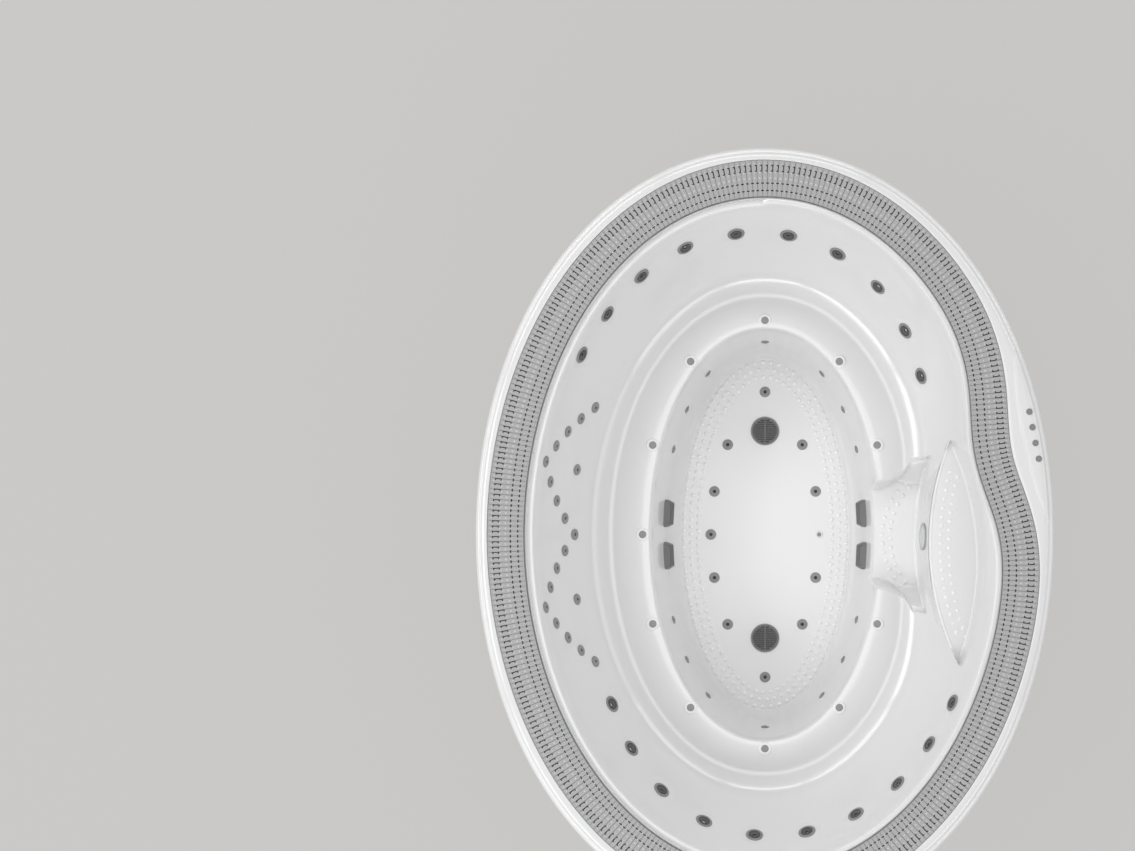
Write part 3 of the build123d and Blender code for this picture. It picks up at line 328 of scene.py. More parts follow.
def smooth_max(a, b, blend):
    near = np.maximum(blend - np.abs(a - b), 0.0) / blend
    return np.maximum(a, b) + near * near * blend / 4.0


def smooth_min(a, b, blend):
    return -smooth_max(-a, -b, blend)


def smooth_step(value):
    t = np.clip(value, 0.0, 1.0)
    return t * t * (3.0 - 2.0 * t)


def circle_through(a, b, c):
    """Centre and radius of the circle through three points."""
    (ax, ay), (bx, by), (cx, cy) = a, b, c
    d = 2.0 * (ax * (by - cy) + bx * (cy - ay) + cx * (ay - by))
    sa, sb, sc = ax * ax + ay * ay, bx * bx + by * by, cx * cx + cy * cy
    x = (sa * (by - cy) + sb * (cy - ay) + sc * (ay - by)) / d
    y = (sa * (cx - bx) + sb * (ax - cx) + sc * (bx - ax)) / d
    return (x, y), math.hypot(ax - x, ay - y)


def ring_radius(ring, angle):
    """Radius of an oval ring with a dent, at angles in degrees from +X."""
    half_width, half_length, fullness, dent, dent_angle, spread = ring
    turned = np.radians(angle)
    across, along = np.abs(np.cos(turned)) / half_width, np.abs(np.sin(turned)) / half_length
    away = (angle - dent_angle + 180.0) % 360.0 - 180.0
    oval = (across**fullness + along**fullness) ** (-1.0 / fullness)
    return oval - dent * np.exp(-((away / spread) ** 2) / 2.0)


def ring_points(ring, angle, grow=0.0):
    """Points of a ring moved outward by grow, and the outward directions there."""
    ends = []
    for turned in (angle + TANGENT_STEP, angle - TANGENT_STEP):
        radius = ring_radius(ring, turned)
        ends.append((radius * np.cos(np.radians(turned)), radius * np.sin(np.radians(turned))))
    run_x, run_y = ends[0][0] - ends[1][0], ends[0][1] - ends[1][1]
    size = np.hypot(run_x, run_y)
    out_x, out_y = run_y / size, -run_x / size
    radius = ring_radius(ring, angle)
    x = radius * np.cos(np.radians(angle)) + grow * out_x
    y = radius * np.sin(np.radians(angle)) + grow * out_y
    return x, y, out_x, out_y


def grown_radius(ring, angle, grow):
    """Radius, seen from the middle, of a ring moved outward by grow."""
    around = np.arange(-90.0, 450.0, RING_STEP)
    x, y, _, _ = ring_points(ring, around, grow)
    seen = np.degrees(np.unwrap(np.arctan2(y, x)))
    seen += 360.0 * round((around[0] - seen[0]) / 360.0)
    return np.interp(angle, seen, np.hypot(x, y))


# The jets' places come from their joints

jets = []
for joint in frame["joints"]:
    if joint["name"].startswith("nozzle_turn_"):
        facing = Vector(joint["axis"]).normalized()
        place = Vector(joint["pos_m"]) / MM + facing * NOZZLE_MIDDLE
        jets.append((joint["child"], place, facing))


# The shell's inside as a height over the plan

LEAF_BACK = circle_through(LEAF_UPPER_TIP, LEAF_OUTER_MIDDLE, LEAF_LOWER_TIP)
LEAF_FRONT = circle_through(LEAF_UPPER_TIP, LEAF_INNER_MIDDLE, LEAF_LOWER_TIP)
FAN_END = circle_through((FAN_MOUTH_X, FAN_HALF_MOUTH), FAN_MIDDLE, FAN_TIP)
LEAF_FRONT_SIDE = -1.0 if LEAF_FRONT[0][0] > LEAF_INNER_MIDDLE[0] else 1.0
PANEL_EDGE = circle_through(PANEL_START, PANEL_MIDDLE, PANEL_END)


def arc_x(circle, y, side):
    """X of a circle's left or right side at a Y."""
    (cx, cy), radius = circle
    return cx + side * np.sqrt(np.maximum(radius**2 - (y - cy) ** 2, 0.0))


def wall_share_up(share_out):
    """How far up the back wall is, from how far out it is."""
    out = np.clip(share_out, 0.0, WALL_MOST)
    return (WALL_STEEP - np.sqrt(WALL_STEEP**2 - 4.0 * WALL_BEND * out)) / (2.0 * WALL_BEND)


def wall_share_out(share_up):
    return WALL_STEEP * share_up - WALL_BEND * share_up**2


def fan_half_width(x):
    """Half the lower step's length at an X."""
    (cx, cy), radius = FAN_END
    arc = cy - np.sqrt(np.maximum(radius**2 - (x - cx) ** 2, 0.0))
    arc = np.where(x < FAN_MOUTH_X, FAN_HALF_MOUTH, arc)
    return np.where(x > FAN_TIP[0], FAN_TIP[1], arc)


def riser_x(edge, y):
    x, middle, radius = edge
    return x + (y - middle) ** 2 / (2.0 * radius)


def wall_height(radius, crease, lip):
    """Height of the bathing wall, with the gentler slope at its foot."""
    out = (radius - crease) / (lip - crease)
    wall = CREASE_TOP + (LIP_TOP - CREASE_TOP) * wall_share_up(out)
    over = np.maximum(out - WALL_MOST, 0.0)
    wall = wall + over * (lip - crease) * WALL_PAST_SLOPE
    foot_slope = (LIP_TOP - CREASE_TOP) / (WALL_STEEP * (lip - crease))
    wall = np.where(out < 0.0, CREASE_TOP + (radius - crease) * foot_slope, wall)
    return smooth_max(wall, CREASE_TOP + (radius - crease) * CREASE_SLOPE, WALL_FOOT_BLEND)


def seat_height(radius, edge, crease):
    """Height of the dished seat between the footwell and the wall."""
    along = np.clip((radius - edge) / (crease - edge), 0.0, 1.0)
    return BENCH_TOP + SEAT_SWING * np.cos(math.pi * (along - SEAT_CREST_SHARE) / SEAT_HALF_WAVE)


def lower_step_height(x, y, foot):
    """Height of the lower step and of the slopes at its ends and back."""
    to_tip = np.hypot(np.minimum(x - FAN_TIP[0], 0.0), np.abs(y) - FAN_TIP[1])
    fan = LOWER_STEP_TOP + FAN_TIP_RISE * smooth_step(1.0 - to_tip / FAN_TIP_REACH)
    toward_tip = smooth_step((x - FAN_MOUTH_X) / (FAN_TIP[0] - FAN_MOUTH_X))
    side_slope = FAN_SLOPE + (FAN_TIP_SLOPE - FAN_SLOPE) * toward_tip
    fan = fan + np.maximum(np.abs(y) - fan_half_width(x), 0.0) / side_slope
    fan = fan + np.maximum(x - foot, 0.0) * FAN_BACK_SLOPE
    return np.where(x > 0.0, fan, LIP_TOP)


def riser_height(x, foot, head):
    """Height of the riser between the two steps."""
    riser = LOWER_STEP_TOP + (LEAF_STEP_TOP - LOWER_STEP_TOP) * (x - foot) / (head - foot)
    return smooth_min(riser, LEAF_STEP_TOP + 0.0 * riser, RISER_HEAD_BLEND)


def leaf_height(x, y, head):
    """Height of the leaf-shaped step and of the walls round it."""
    in_front = np.maximum(head - x, 0.0)
    behind = np.maximum(x - arc_x(LEAF_BACK, y, 1.0), 0.0)
    leaf = LEAF_STEP_TOP + (in_front + behind) * LEAF_WALL_SLOPE
    return np.where((x > 0.0) & (np.abs(y) < LEAF_REACH), leaf, FAR_ABOVE)


def well_height(angle, radius, edge):
    """Height of the footwell's wall and floor."""
    floor_edge = ring_radius(FLOOR_EDGE, angle)
    well = FLOOR_TOP + (BENCH_TOP - FLOOR_TOP) * (radius - floor_edge) / (edge - floor_edge)
    return smooth_max(well, FLOOR_TOP + 0.0 * well, FLOOR_BLEND)


def crown_height(angle, radius, crease, lip):
    """Height of the lip's crowned top."""
    middle = (lip + grown_radius(GUTTER, angle, -GUTTER_SEAT - LIP_ROUND)) / 2.0
    from_middle = np.minimum(np.abs(radius - middle) / (middle - lip), LIP_CROWN_REACH)
    crown = LIP_TOP - LIP_CROWN * from_middle**2
    out = (radius - crease) / (lip - crease)
    return np.where(out < LIP_CROWN_FROM, FAR_ABOVE, crown)


def inside_height(angle, radius):
    """Height of the shell's visible side at a place given by angle and radius."""
    x, y = radius * np.cos(np.radians(angle)), radius * np.sin(np.radians(angle))
    crease, lip, edge = ring_radius(CREASE, angle), ring_radius(LIP, angle), ring_radius(BENCH_EDGE, angle)
    foot, head = riser_x(RISER_FOOT, y), arc_x(LEAF_FRONT, y, LEAF_FRONT_SIDE)
    high = smooth_max(seat_height(radius, edge, crease), wall_height(radius, crease, lip), CREASE_BLEND)
    high = smooth_min(high, lower_step_height(x, y, foot), FAN_BLEND)
    high = np.where(x > 0.0, smooth_max(high, riser_height(x, foot, head), RISER_BLEND), high)
    high = smooth_min(high, leaf_height(x, y, head), LEAF_BLEND)
    high = smooth_min(high, well_height(angle, radius, edge), BENCH_BLEND)
    return smooth_min(high, crown_height(angle, radius, crease, lip), LIP_BLEND)


def dimple_drop(angle, radius, height):
    """How far the jets' dimples lower the wall."""
    x, y = radius * np.cos(np.radians(angle)), radius * np.sin(np.radians(angle))
    step = 1.0
    slope = (inside_height(angle, radius + step) - height) / step
    drop = np.zeros_like(height)
    for _, place, facing in jets:
        dx, dy, dz = x - place.x, y - place.y, height - place.z
        along = dx * facing.x + dy * facing.y + dz * facing.z
        away = np.sqrt(np.maximum(dx**2 + dy**2 + dz**2 - along**2, 0.0))
        deep = DIMPLE_DEPTH * smooth_step((DIMPLE_RADIUS - away) / (DIMPLE_RADIUS - DIMPLE_FLAT))
        near = np.abs(along) < DIMPLE_RADIUS
        drop = np.maximum(drop, np.where(near, deep * np.sqrt(1.0 + slope * slope), 0.0))
    return drop


def rim_height(angle, radius):
    """Height of the rim's top, with the raised control panel."""
    x, y = radius * np.cos(np.radians(angle)), radius * np.sin(np.radians(angle))
    (cx, cy), size = PANEL_EDGE
    past = np.hypot(x - cx, y - cy) - size
    if cx > PANEL_MIDDLE[0]:
        past = -past
    raised = PANEL_RISE * smooth_step(past / PANEL_STEP)
    raised = np.where((y > PANEL_END[1]) & (y < PANEL_START[1]) & (x > 0.0), raised, 0.0)
    inset = grown_radius(RIM, angle, -RIM_EDGE_ROUND) - radius
    fall = RIM_FALL * np.clip(1.0 - inset / RIM_FALL_REACH, 0.0, 1.0) ** 2
    return RIM_TOP - fall + raised * smooth_step(inset / PANEL_STEP)


def even_rows(angle, outer, inner, height, samples, rows, turn_cost, final=None):
    """Rows from outer to inner radius, closest together where the height turns."""
    share = np.linspace(0.0, 1.0, samples)[None, :]
    radius = outer[:, None] + (inner - outer)[:, None] * share
    z = height(angle[:, None] + 0.0 * share, radius)
    dr, dz = np.diff(radius, axis=1), np.diff(z, axis=1)
    cost = np.hypot(dr, dz)
    bend = np.abs(np.diff(np.arctan2(dz, -dr), axis=1))
    cost[:, 1:] += turn_cost * bend / 2.0
    cost[:, :-1] += turn_cost * bend / 2.0
    total = np.concatenate([np.zeros((len(angle), 1)), np.cumsum(cost, axis=1)], axis=1)
    out_r = np.empty((len(angle), rows))
    for j in range(len(angle)):
        out_r[j] = np.interp(np.linspace(0.0, total[j, -1], rows), total[j], radius[j])
    part = (out_r - inner[:, None]) / (outer - inner)[:, None]
    shifts = np.arange(-ROW_SMOOTHING_REACH, ROW_SMOOTHING_REACH + 1)
    weights = np.exp(-((shifts / ROW_SMOOTHING_SPREAD) ** 2) / 2.0)
    part = sum(w * np.roll(part, k, axis=0) for k, w in zip(shifts, weights / weights.sum()))
    out_r = inner[:, None] + part * (outer - inner)[:, None]
    return out_r, (final or height)(angle[:, None] + 0.0 * out_r, out_r)


def ring_rows(angle, ring, steps):
    """Rows at given growths of a ring and heights."""
    radius = np.stack([grown_radius(ring, angle, grow) for grow, _ in steps], axis=1)
    height = np.stack([np.full(len(angle), z) for _, z in steps], axis=1)
    return radius, height


def quarter(centre, radius, start, steps=CORNER_STEPS):
    """Points of a quarter circle as (growth, height)."""
    points = []
    for i in range(steps + 1):
        turned = math.radians(start - 90.0 * i / steps)
        points.append((centre[0] + radius * math.cos(turned), centre[1] + radius * math.sin(turned)))
    return points


# Meshes

def new_object(name, verts, faces, material, body=TUB, smooth=True):
    """A piece from vertices in millimetres."""
    mesh = bpy.data.meshes.new(name)
    mesh.from_pydata([tuple(c * MM for c in v) for v in verts], [], faces)
    mesh.validate()
    mesh.polygons.foreach_set("use_smooth", [smooth] * len(mesh.polygons))
    if smooth:
        mesh.set_sharp_from_angle(angle=math.radians(PIECE_SHARP))
    mesh.materials.append(material)
    obj = bpy.data.objects.new(name, mesh)
    bpy.context.scene.collection.objects.link(obj)
    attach(obj, body)
    return obj


def thicken(obj, thickness):
    """Gives an open skin its thickness, away from the side that shows."""
    thick = obj.modifiers.new("thick", "SOLIDIFY")
    thick.thickness = thickness * MM
    thick.offset = -1.0
    done = bpy.data.meshes.new_from_object(obj.evaluated_get(bpy.context.evaluated_depsgraph_get()))
    obj.modifiers.clear()
    obj.data = done
    done.set_sharp_from_angle(angle=math.radians(SHELL_SHARP))


class Shape:
    """Vertices and faces that are gathered before they become a piece."""

    def __init__(self):
        self.verts = []
        self.faces = []

    def add(self, verts, faces, matrix=None):
        first = len(self.verts)
        self.verts += [tuple(matrix @ Vector(v)) for v in verts] if matrix else list(verts)
        self.faces += [tuple(first + i for i in face) for face in faces]


def lathe(profile, sides):
    """A solid of revolution about +Z from a closed profile that starts and ends on the axis."""
    verts = [(0.0, 0.0, profile[0][1])]
    faces = []
    inner = profile[1:-1]
    for radius, z in inner:
        for i in range(sides):
            turned = 2.0 * math.pi * i / sides
            verts.append((radius * math.cos(turned), radius * math.sin(turned), z))
    verts.append((0.0, 0.0, profile[-1][1]))
    last = len(verts) - 1
    for i in range(sides):
        j = (i + 1) % sides
        faces.append((0, 1 + i, 1 + j))
        for k in range(len(inner) - 1):
            low, high = 1 + k * sides, 1 + (k + 1) * sides
            faces.append((low + i, high + i, high + j, low + j))
        base = 1 + (len(inner) - 1) * sides
        faces.append((base + j, base + i, last))
    return verts, faces


def rounded(points, radius, steps=3):
    """A profile with its inner corners rounded."""
    result = [points[0]]
    for before, corner, after in zip(points, points[1:], points[2:]):
        a, b = Vector(before) - Vector(corner), Vector(after) - Vector(corner)
        cut = min(radius, a.length / CUT_PART, b.length / CUT_PART)
        start, end = Vector(corner) + a.normalized() * cut, Vector(corner) + b.normalized() * cut
        for i in range(steps + 1):
            t = i / steps
            point = start * (1 - t) ** 2 + Vector(corner) * 2 * t * (1 - t) + end * t * t
            result.append((point.x, point.y))
    result.append(points[-1])
    return result


def placed(origin, facing):
    """A matrix with +Z along facing."""
    z = Vector(facing).normalized()
    side = Vector((-z.y, z.x, 0.0))
    if side.length < TINY:
        side = Vector((1.0, 0.0, 0.0))
    x = (side - z * side.dot(z)).normalized()
    y = z.cross(x)
    matrix = Matrix((x, y, z)).transposed().to_4x4()
    matrix.translation = Vector(origin)
    return matrix


def polar(radius, angle, z):
    """A place from its radius, its angle in degrees and its height."""
    return Vector((radius * math.cos(math.radians(angle)), radius * math.sin(math.radians(angle)), z))


def inward(place, climb, around):
    """The direction across two tangents that looks toward the tub's middle."""
    facing = climb.cross(around).normalized()
    if facing.dot(Vector((place.x, place.y, 0.0))) > 0.0:
        facing = -facing
    return facing


def wall_place(angle, share_up):
    """A place on the back wall and the direction it faces."""
    def at(turned, up):
        crease, lip = float(ring_radius(CREASE, turned)), float(ring_radius(LIP, turned))
        radius = crease + (lip - crease) * wall_share_out(up)
        return polar(radius, turned, CREASE_TOP + (LIP_TOP - CREASE_TOP) * up)
    place = at(angle, share_up)
    around = at(angle + 1.0, share_up) - at(angle - 1.0, share_up)
    climb = at(angle, share_up + SHARE_STEP) - at(angle, share_up - SHARE_STEP)
    return place, inward(place, climb, around)


def well_place(angle, height):
    """A place on the footwell's wall and the direction it faces."""
    def at(turned, z):
        low, high = float(ring_radius(FLOOR_EDGE, turned)), float(ring_radius(BENCH_EDGE, turned))
        return polar(low + (high - low) * (z - FLOOR_TOP) / (BENCH_TOP - FLOOR_TOP), turned, z)
    place = at(angle, height)
    around = at(angle + 1.0, height) - at(angle - 1.0, height)
    climb = at(angle, height + 1.0) - place
    return place, inward(place, climb, around)


# Materials

def noise(nodes, links, scale):
    """Noise over the piece's own coordinates."""
    coords = nodes.new("ShaderNodeTexCoord")
    texture = nodes.new("ShaderNodeTexNoise")
    texture.inputs["Scale"].default_value = scale
    links.new(coords.outputs["Object"], texture.inputs["Vector"])
    return texture.outputs["Fac"]


def material(name, rgb, roughness, metallic=0.0, coat=0.0, coat_rough=0.12, grain=0.0, mottle=0.0):
    """A procedural material, with an optional fine grain and a soft mottle."""
    mat = bpy.data.materials.new(name)
    mat.use_nodes = True
    nodes, links = mat.node_tree.nodes, mat.node_tree.links
    shader = nodes["Principled BSDF"]
    shader.inputs["Base Color"].default_value = colour(*rgb)
    shader.inputs["Roughness"].default_value = roughness
    shader.inputs["Metallic"].default_value = metallic
    shader.inputs["Coat Weight"].default_value = coat
    shader.inputs["Coat Roughness"].default_value = coat_rough
    if grain > 0.0:
        bump = nodes.new("ShaderNodeBump")
        bump.inputs["Strength"].default_value = grain
        bump.inputs["Distance"].default_value = GRAIN_DEPTH
        links.new(noise(nodes, links, GRAIN_SCALE), bump.inputs["Height"])
        links.new(bump.outputs["Normal"], shader.inputs["Normal"])
    if mottle > 0.0:
        ramp = nodes.new("ShaderNodeValToRGB")
        for stop, position, change in zip(ramp.color_ramp.elements, MOTTLE_ENDS, (-mottle, mottle)):
            stop.position = position
            stop.color = colour(*[min(v * (1.0 + change), 255.0) for v in rgb])
        links.new(noise(nodes, links, MOTTLE_SCALE), ramp.inputs["Fac"])
        links.new(ramp.outputs["Color"], shader.inputs["Base Color"])
    return mat


ACRYLIC = material("acrylic", (236, 236, 236), 0.22, coat=1.0, coat_rough=0.12)
# The beads and grip domes are the shell's own acrylic; this lighter white is painted highlight on them.
ACRYLIC_PAINTED_HIGHLIGHT = material("bead", (252, 252, 252), 0.3, coat=1.0, coat_rough=0.1)
GRATE = material("grate", (176, 176, 176), 0.55, grain=0.25)
PIN = material("grate_pin", (206, 206, 206), 0.5)
JET_GREY = material("jet_grey", (150, 150, 150), 0.35)
JET_CORE = material("jet_core", (56, 56, 56), 0.4)
JET_DARK = material("jet_dark", (84, 84, 84), 0.35)
OUTLET_PAINTED_SHADE = material("outlet_painted_shade", (30, 30, 30), 0.6)
# Near black for the discs inside the nozzles' outlets: painted shade of the open holes.
TRIM = material("trim", (244, 244, 244), 0.3)
LIGHT_RING = material("light_ring", (170, 170, 170), 0.3)
GRILLE = material("grille", (124, 124, 124), 0.5, grain=0.2)
LENS = material("lens", (214, 217, 220), 0.12)
BUTTON = material("button", (140, 140, 140), 0.4)
ZINC = material("zinc", (172, 174, 177), 0.42, metallic=0.6, mottle=0.08)
FOOT = material("foot", (44, 44, 46), 0.6, grain=0.2)
STEEL = material("steel", (190, 190, 192), 0.3, metallic=1.0)
PIPE = material("pipe", (122, 125, 130), 0.45)
HOSE = material("hose", (206, 205, 200), 0.5)

NODE_LOOKS = {
    "drain_covers": GRILLE,
    "drain_sumps": JET_GREY,
    "suction_grilles": GRILLE,
    "suction_boxes": GRILLE,
    "light_bezel": LIGHT_RING,
    "light_lens": LENS,
    "light_housing": JET_GREY,
    "button_sockets": BUTTON,
    "frame_cross_rails": ZINC,
    "frame_ring_rails": ZINC,
    "frame_posts": ZINC,
    "foot_pads": FOOT,
    "foot_studs": STEEL,
    "foot_lock_nuts": STEEL,
    "drain_pipes": PIPE,
    "suction_pipes": PIPE,
    "gutter_outlets": PIPE,
    "air_channel": PIPE,
    "jet_hoses": HOSE,
}
for name, obj in frame["nodes"].items():
    look = NODE_LOOKS.get(name, BUTTON if name.startswith("button_") else None)
    if look:
        obj.data.materials.clear()
        obj.data.materials.append(look)


# The shell

entry_columns = np.arange(ENTRY_FROM, ENTRY_TO, ENTRY_STEP)
columns = np.concatenate([entry_columns, np.arange(ENTRY_TO, 360.0 + ENTRY_FROM, ROUND_STEP)])


def dimpled_height(angle, radius):
    height = inside_height(angle, radius)
    return height - dimple_drop(angle, radius, height)


def shell_rows():
    """Radius and height of the shell's visible side, row by row from the skirt to the floor."""
    skirt = [(0.0, RIM_TOP - RIM_SKIRT_DEPTH), (0.0, RIM_TOP - RIM_SKIRT_MIDDLE)]
    edge_middle = (-RIM_EDGE_ROUND, RIM_TOP - RIM_FALL - RIM_EDGE_ROUND)
    edge = list(reversed(quarter(edge_middle, RIM_EDGE_ROUND, 90.0, RIM_EDGE_STEPS)))
    parts = [ring_rows(columns, RIM, skirt + edge[:-1])]
    outer = grown_radius(RIM, columns, -RIM_EDGE_ROUND)
    inner = grown_radius(GUTTER, columns, GUTTER_SEAT + RIM_INNER_ROUND)
    parts.append(even_rows(columns, outer, inner, rim_height, RIM_SAMPLES, RIM_ROWS, RIM_TURN_COST))
    seat, ledge = GUTTER_SEAT, GUTTER_LEDGE
    down_middle = (seat + RIM_INNER_ROUND, RIM_TOP - RIM_INNER_ROUND)
    down = list(reversed(quarter(down_middle, RIM_INNER_ROUND, 180.0)))
    trough = down[1:] + [(seat, LEDGE_TOP), (ledge, LEDGE_TOP), (ledge, GUTTER_BOTTOM)]
    trough += [(-ledge, GUTTER_BOTTOM), (-ledge, LEDGE_TOP), (-seat, LEDGE_TOP)]
    lip_edge = quarter((-seat - LIP_ROUND, LIP_TOP - LIP_CROWN - LIP_ROUND), LIP_ROUND, 90.0)
    trough += list(reversed(lip_edge))
    parts.append(ring_rows(columns, GUTTER, trough))
    start = grown_radius(GUTTER, columns, -seat - LIP_ROUND - INSIDE_START_GAP)
    end = ring_radius(FLOOR_EDGE, columns) * FLOOR_PART
    amounts = (INSIDE_SAMPLES, INSIDE_ROWS, INSIDE_TURN_COST)
    parts.append(even_rows(columns, start, end, inside_height, *amounts, dimpled_height))
    radius = np.concatenate([part[0] for part in parts], axis=1)
    height = np.concatenate([part[1] for part in parts], axis=1)
    height[:, -1] = FLOOR_TOP
    return radius, height


def make_shell():
    radius, height = shell_rows()
    across, along = np.cos(np.radians(columns))[:, None], np.sin(np.radians(columns))[:, None]
    verts = np.stack([radius * across, radius * along, height], axis=2).reshape(-1, 3)
    rows = radius.shape[1]
    shape = Shape()
    faces = []
    for j in range(len(columns)):
        k = (j + 1) % len(columns)
        for i in range(rows - 1):
            faces.append((j * rows + i, k * rows + i, k * rows + i + 1, j * rows + i + 1))
    shape.add([tuple(map(float, v)) for v in verts], faces)
    rim_loop = [j * rows + rows - 1 for j in range(len(columns))]
    add_floor(shape, rim_loop)
    return shape


def add_floor(shape, loop):
    """The flat floor inside a loop of vertices, with the drains' holes."""
    places = [Vector(shape.verts[i][:2]) for i in loop]
    outer = list(range(len(places)))
    holes = []
    for side in (1.0, -1.0):
        first = len(places)
        for i in range(HOLE_SIDES):
            turned = 2.0 * math.pi * i / HOLE_SIDES
            across, along = DRAIN_RADIUS * math.cos(turned), DRAIN_RADIUS * math.sin(turned)
            places.append(Vector((across, side * DRAIN_Y + along)))
        holes.append(list(range(first, first + HOLE_SIDES)))
    edges = []
    for ring in [outer] + holes:
        edges += [(ring[i], ring[(i + 1) % len(ring)]) for i in range(len(ring))]
    out_verts, _, out_faces, origins, _, _ = delaunay_2d_cdt(places, edges, [], 1, FLOOR_MERGE)
    index = {}
    for i, v in enumerate(out_verts):
        source = [o for o in origins[i] if o < len(loop)]
        if source:
            index[i] = loop[source[0]]
        else:
            index[i] = len(shape.verts)
            shape.verts.append((v.x, v.y, FLOOR_TOP))
    for face in out_faces:
        middle = sum((out_verts[i] for i in face), Vector((0.0, 0.0))) / len(face)
        to_drain = min(math.hypot(middle.x, middle.y - side * DRAIN_Y) for side in (1.0, -1.0))
        if to_drain < DRAIN_RADIUS * HOLE_INSIDE:
            continue
        a, b, c = (out_verts[i] for i in face[:3])
        turned = (b - a).x * (c - a).y - (b - a).y * (c - a).x
        ring = face if turned > 0.0 else tuple(reversed(face))
        shape.faces.append(tuple(index[i] for i in ring))


shell_shape = make_shell()
shell = new_object("shell", shell_shape.verts, shell_shape.faces, ACRYLIC)
thicken(shell, SHELL_THICK)
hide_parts("shell_footwell", "shell_wall", "shell_gutter")


# The grating

around = np.arange(0.0, 360.0 + GUTTER_STEP, GUTTER_STEP)
gx, gy, _, _ = ring_points(GUTTER, around)
walked = np.concatenate([[0.0], np.cumsum(np.hypot(np.diff(gx), np.diff(gy)))])
bars = int(round(walked[-1] / GRATING_PITCH))


def on_gutter(walk, across):
    """A place at a distance along the gutter and a distance out from its middle."""
    angle = np.interp(walk % walked[-1], walked, around)
    x, y, _, _ = ring_points(GUTTER, angle, across)
    return x, y


def bar_outline(inset):
    """The outline of one cross bar as (along, across), taken in by inset."""
    ahead, behind = [], []
    top = GRATING_HALF
    for low, front, back in GRATING_STRETCHES:
        ahead += [(front - inset, top), (front - inset, low)]
        behind += [(-back + inset, top), (-back + inset, low)]
        top = low
    ring = ahead + list(reversed(behind))
    clean = []
    for u, v in ring:
        v = max(min(v, GRATING_HALF - inset), -GRATING_HALF + inset)
        if not clean or math.hypot(u - clean[-1][0], v - clean[-1][1]) > TINY:
            clean.append((u, v))
    return clean


BAR_OUTER = bar_outline(0.0)
BAR_TOP = bar_outline(GRATING_EDGE_ROUND)


def pin_mesh(radius):
    half = PIN_DEPTH / 2
    return lathe(rounded([(0.0, half), (radius, half), (radius, -half), (0.0, -half)], PIN_ROUND), PIN_SIDES)


def laid(outline, middle, z):
    """An outline of (along, across) laid on the gutter, at a height."""
    x, y = on_gutter(middle + np.array([p[0] for p in outline]), np.array([p[1] for p in outline]))
    return [(float(a), float(b), z) for a, b in zip(x, y)]


def bar_mesh(middle):
    """One cross bar, with its upper edges taken off."""
    layers = (
        (BAR_OUTER, GRATING_LOW),
        (BAR_OUTER, GRATING_TOP - GRATING_EDGE_ROUND),
        (BAR_TOP, GRATING_TOP),
    )
    count = len(BAR_OUTER)
    verts = []
    for outline, z in layers:
        verts += laid(outline, middle, z)
    faces = [tuple(range(2 * count, 3 * count)), tuple(reversed(range(count)))]
    for layer in range(2):
        for i in range(count):
            j = (i + 1) % count
            low, high = layer * count, (layer + 1) * count
            faces.append((low + i, low + j, high + j, high + i))
    return verts, faces


def spine_mesh(middle, pitch):
    """The piece of spine under one cross bar."""
    half = GRATING_SPINE_HALF
    corners = [(-pitch / 2, -half), (pitch / 2, -half), (pitch / 2, half), (-pitch / 2, half)]
    verts = laid(corners, middle, GRATING_SPINE_LOW) + laid(corners, middle, GRATING_LOW)
    faces = [(0, 1, 2, 3), (7, 6, 5, 4)]
    faces += [(i, i + 4, (i + 1) % 4 + 4, (i + 1) % 4) for i in range(4)]
    return verts, faces


def make_grating():
    pitch = walked[-1] / bars
    pin_meshes = [pin_mesh(radius) for _, radius in GRATING_PINS]
    for k in range(GRATING_SECTIONS):
        shape, pins = Shape(), Shape()
        first, last = round(bars * k / GRATING_SECTIONS), round(bars * (k + 1) / GRATING_SECTIONS)
        for b in range(first, last):
            middle = pitch * (b + 0.5)
            shape.add(*bar_mesh(middle))
            shape.add(*spine_mesh(middle, pitch))
            for (across, _), mesh in zip(GRATING_PINS, pin_meshes):
                spot = laid([(0.0, across)], middle, GRATING_TOP - PIN_DEPTH / 2 + PIN_RISE)[0]
                pins.add(*mesh, Matrix.Translation(spot))
        name = f"grating_{k + 1:02d}"
        piece = new_object(name + "_bars", shape.verts, shape.faces, GRATE, smooth=False)
        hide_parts(name)
        new_object(name + "_pins", pins.verts, pins.faces, PIN)


make_grating()


# Large jets

# Radius and height along the flange's section, with a groove round it
JET_SECTION = [
    (0.0, 0.5), (JET_BORE / 2, 0.5), (JET_BORE / 2, 4.0), (29.5, 5.2), (31.0, 3.4), (33.0, 3.4), (34.0, 5.0),
    (JET_FLANGE / 2 - 1.0, 4.4), (JET_FLANGE / 2, 2.6), (JET_FLANGE / 2, 0.0), (JET_BARREL / 2, 0.0),
    (JET_BARREL / 2, -JET_BARREL_LENGTH), (0.0, -JET_BARREL_LENGTH),
]
JET_RING = rounded(JET_SECTION, SECTION_ROUND, SECTION_ROUND_STEPS)

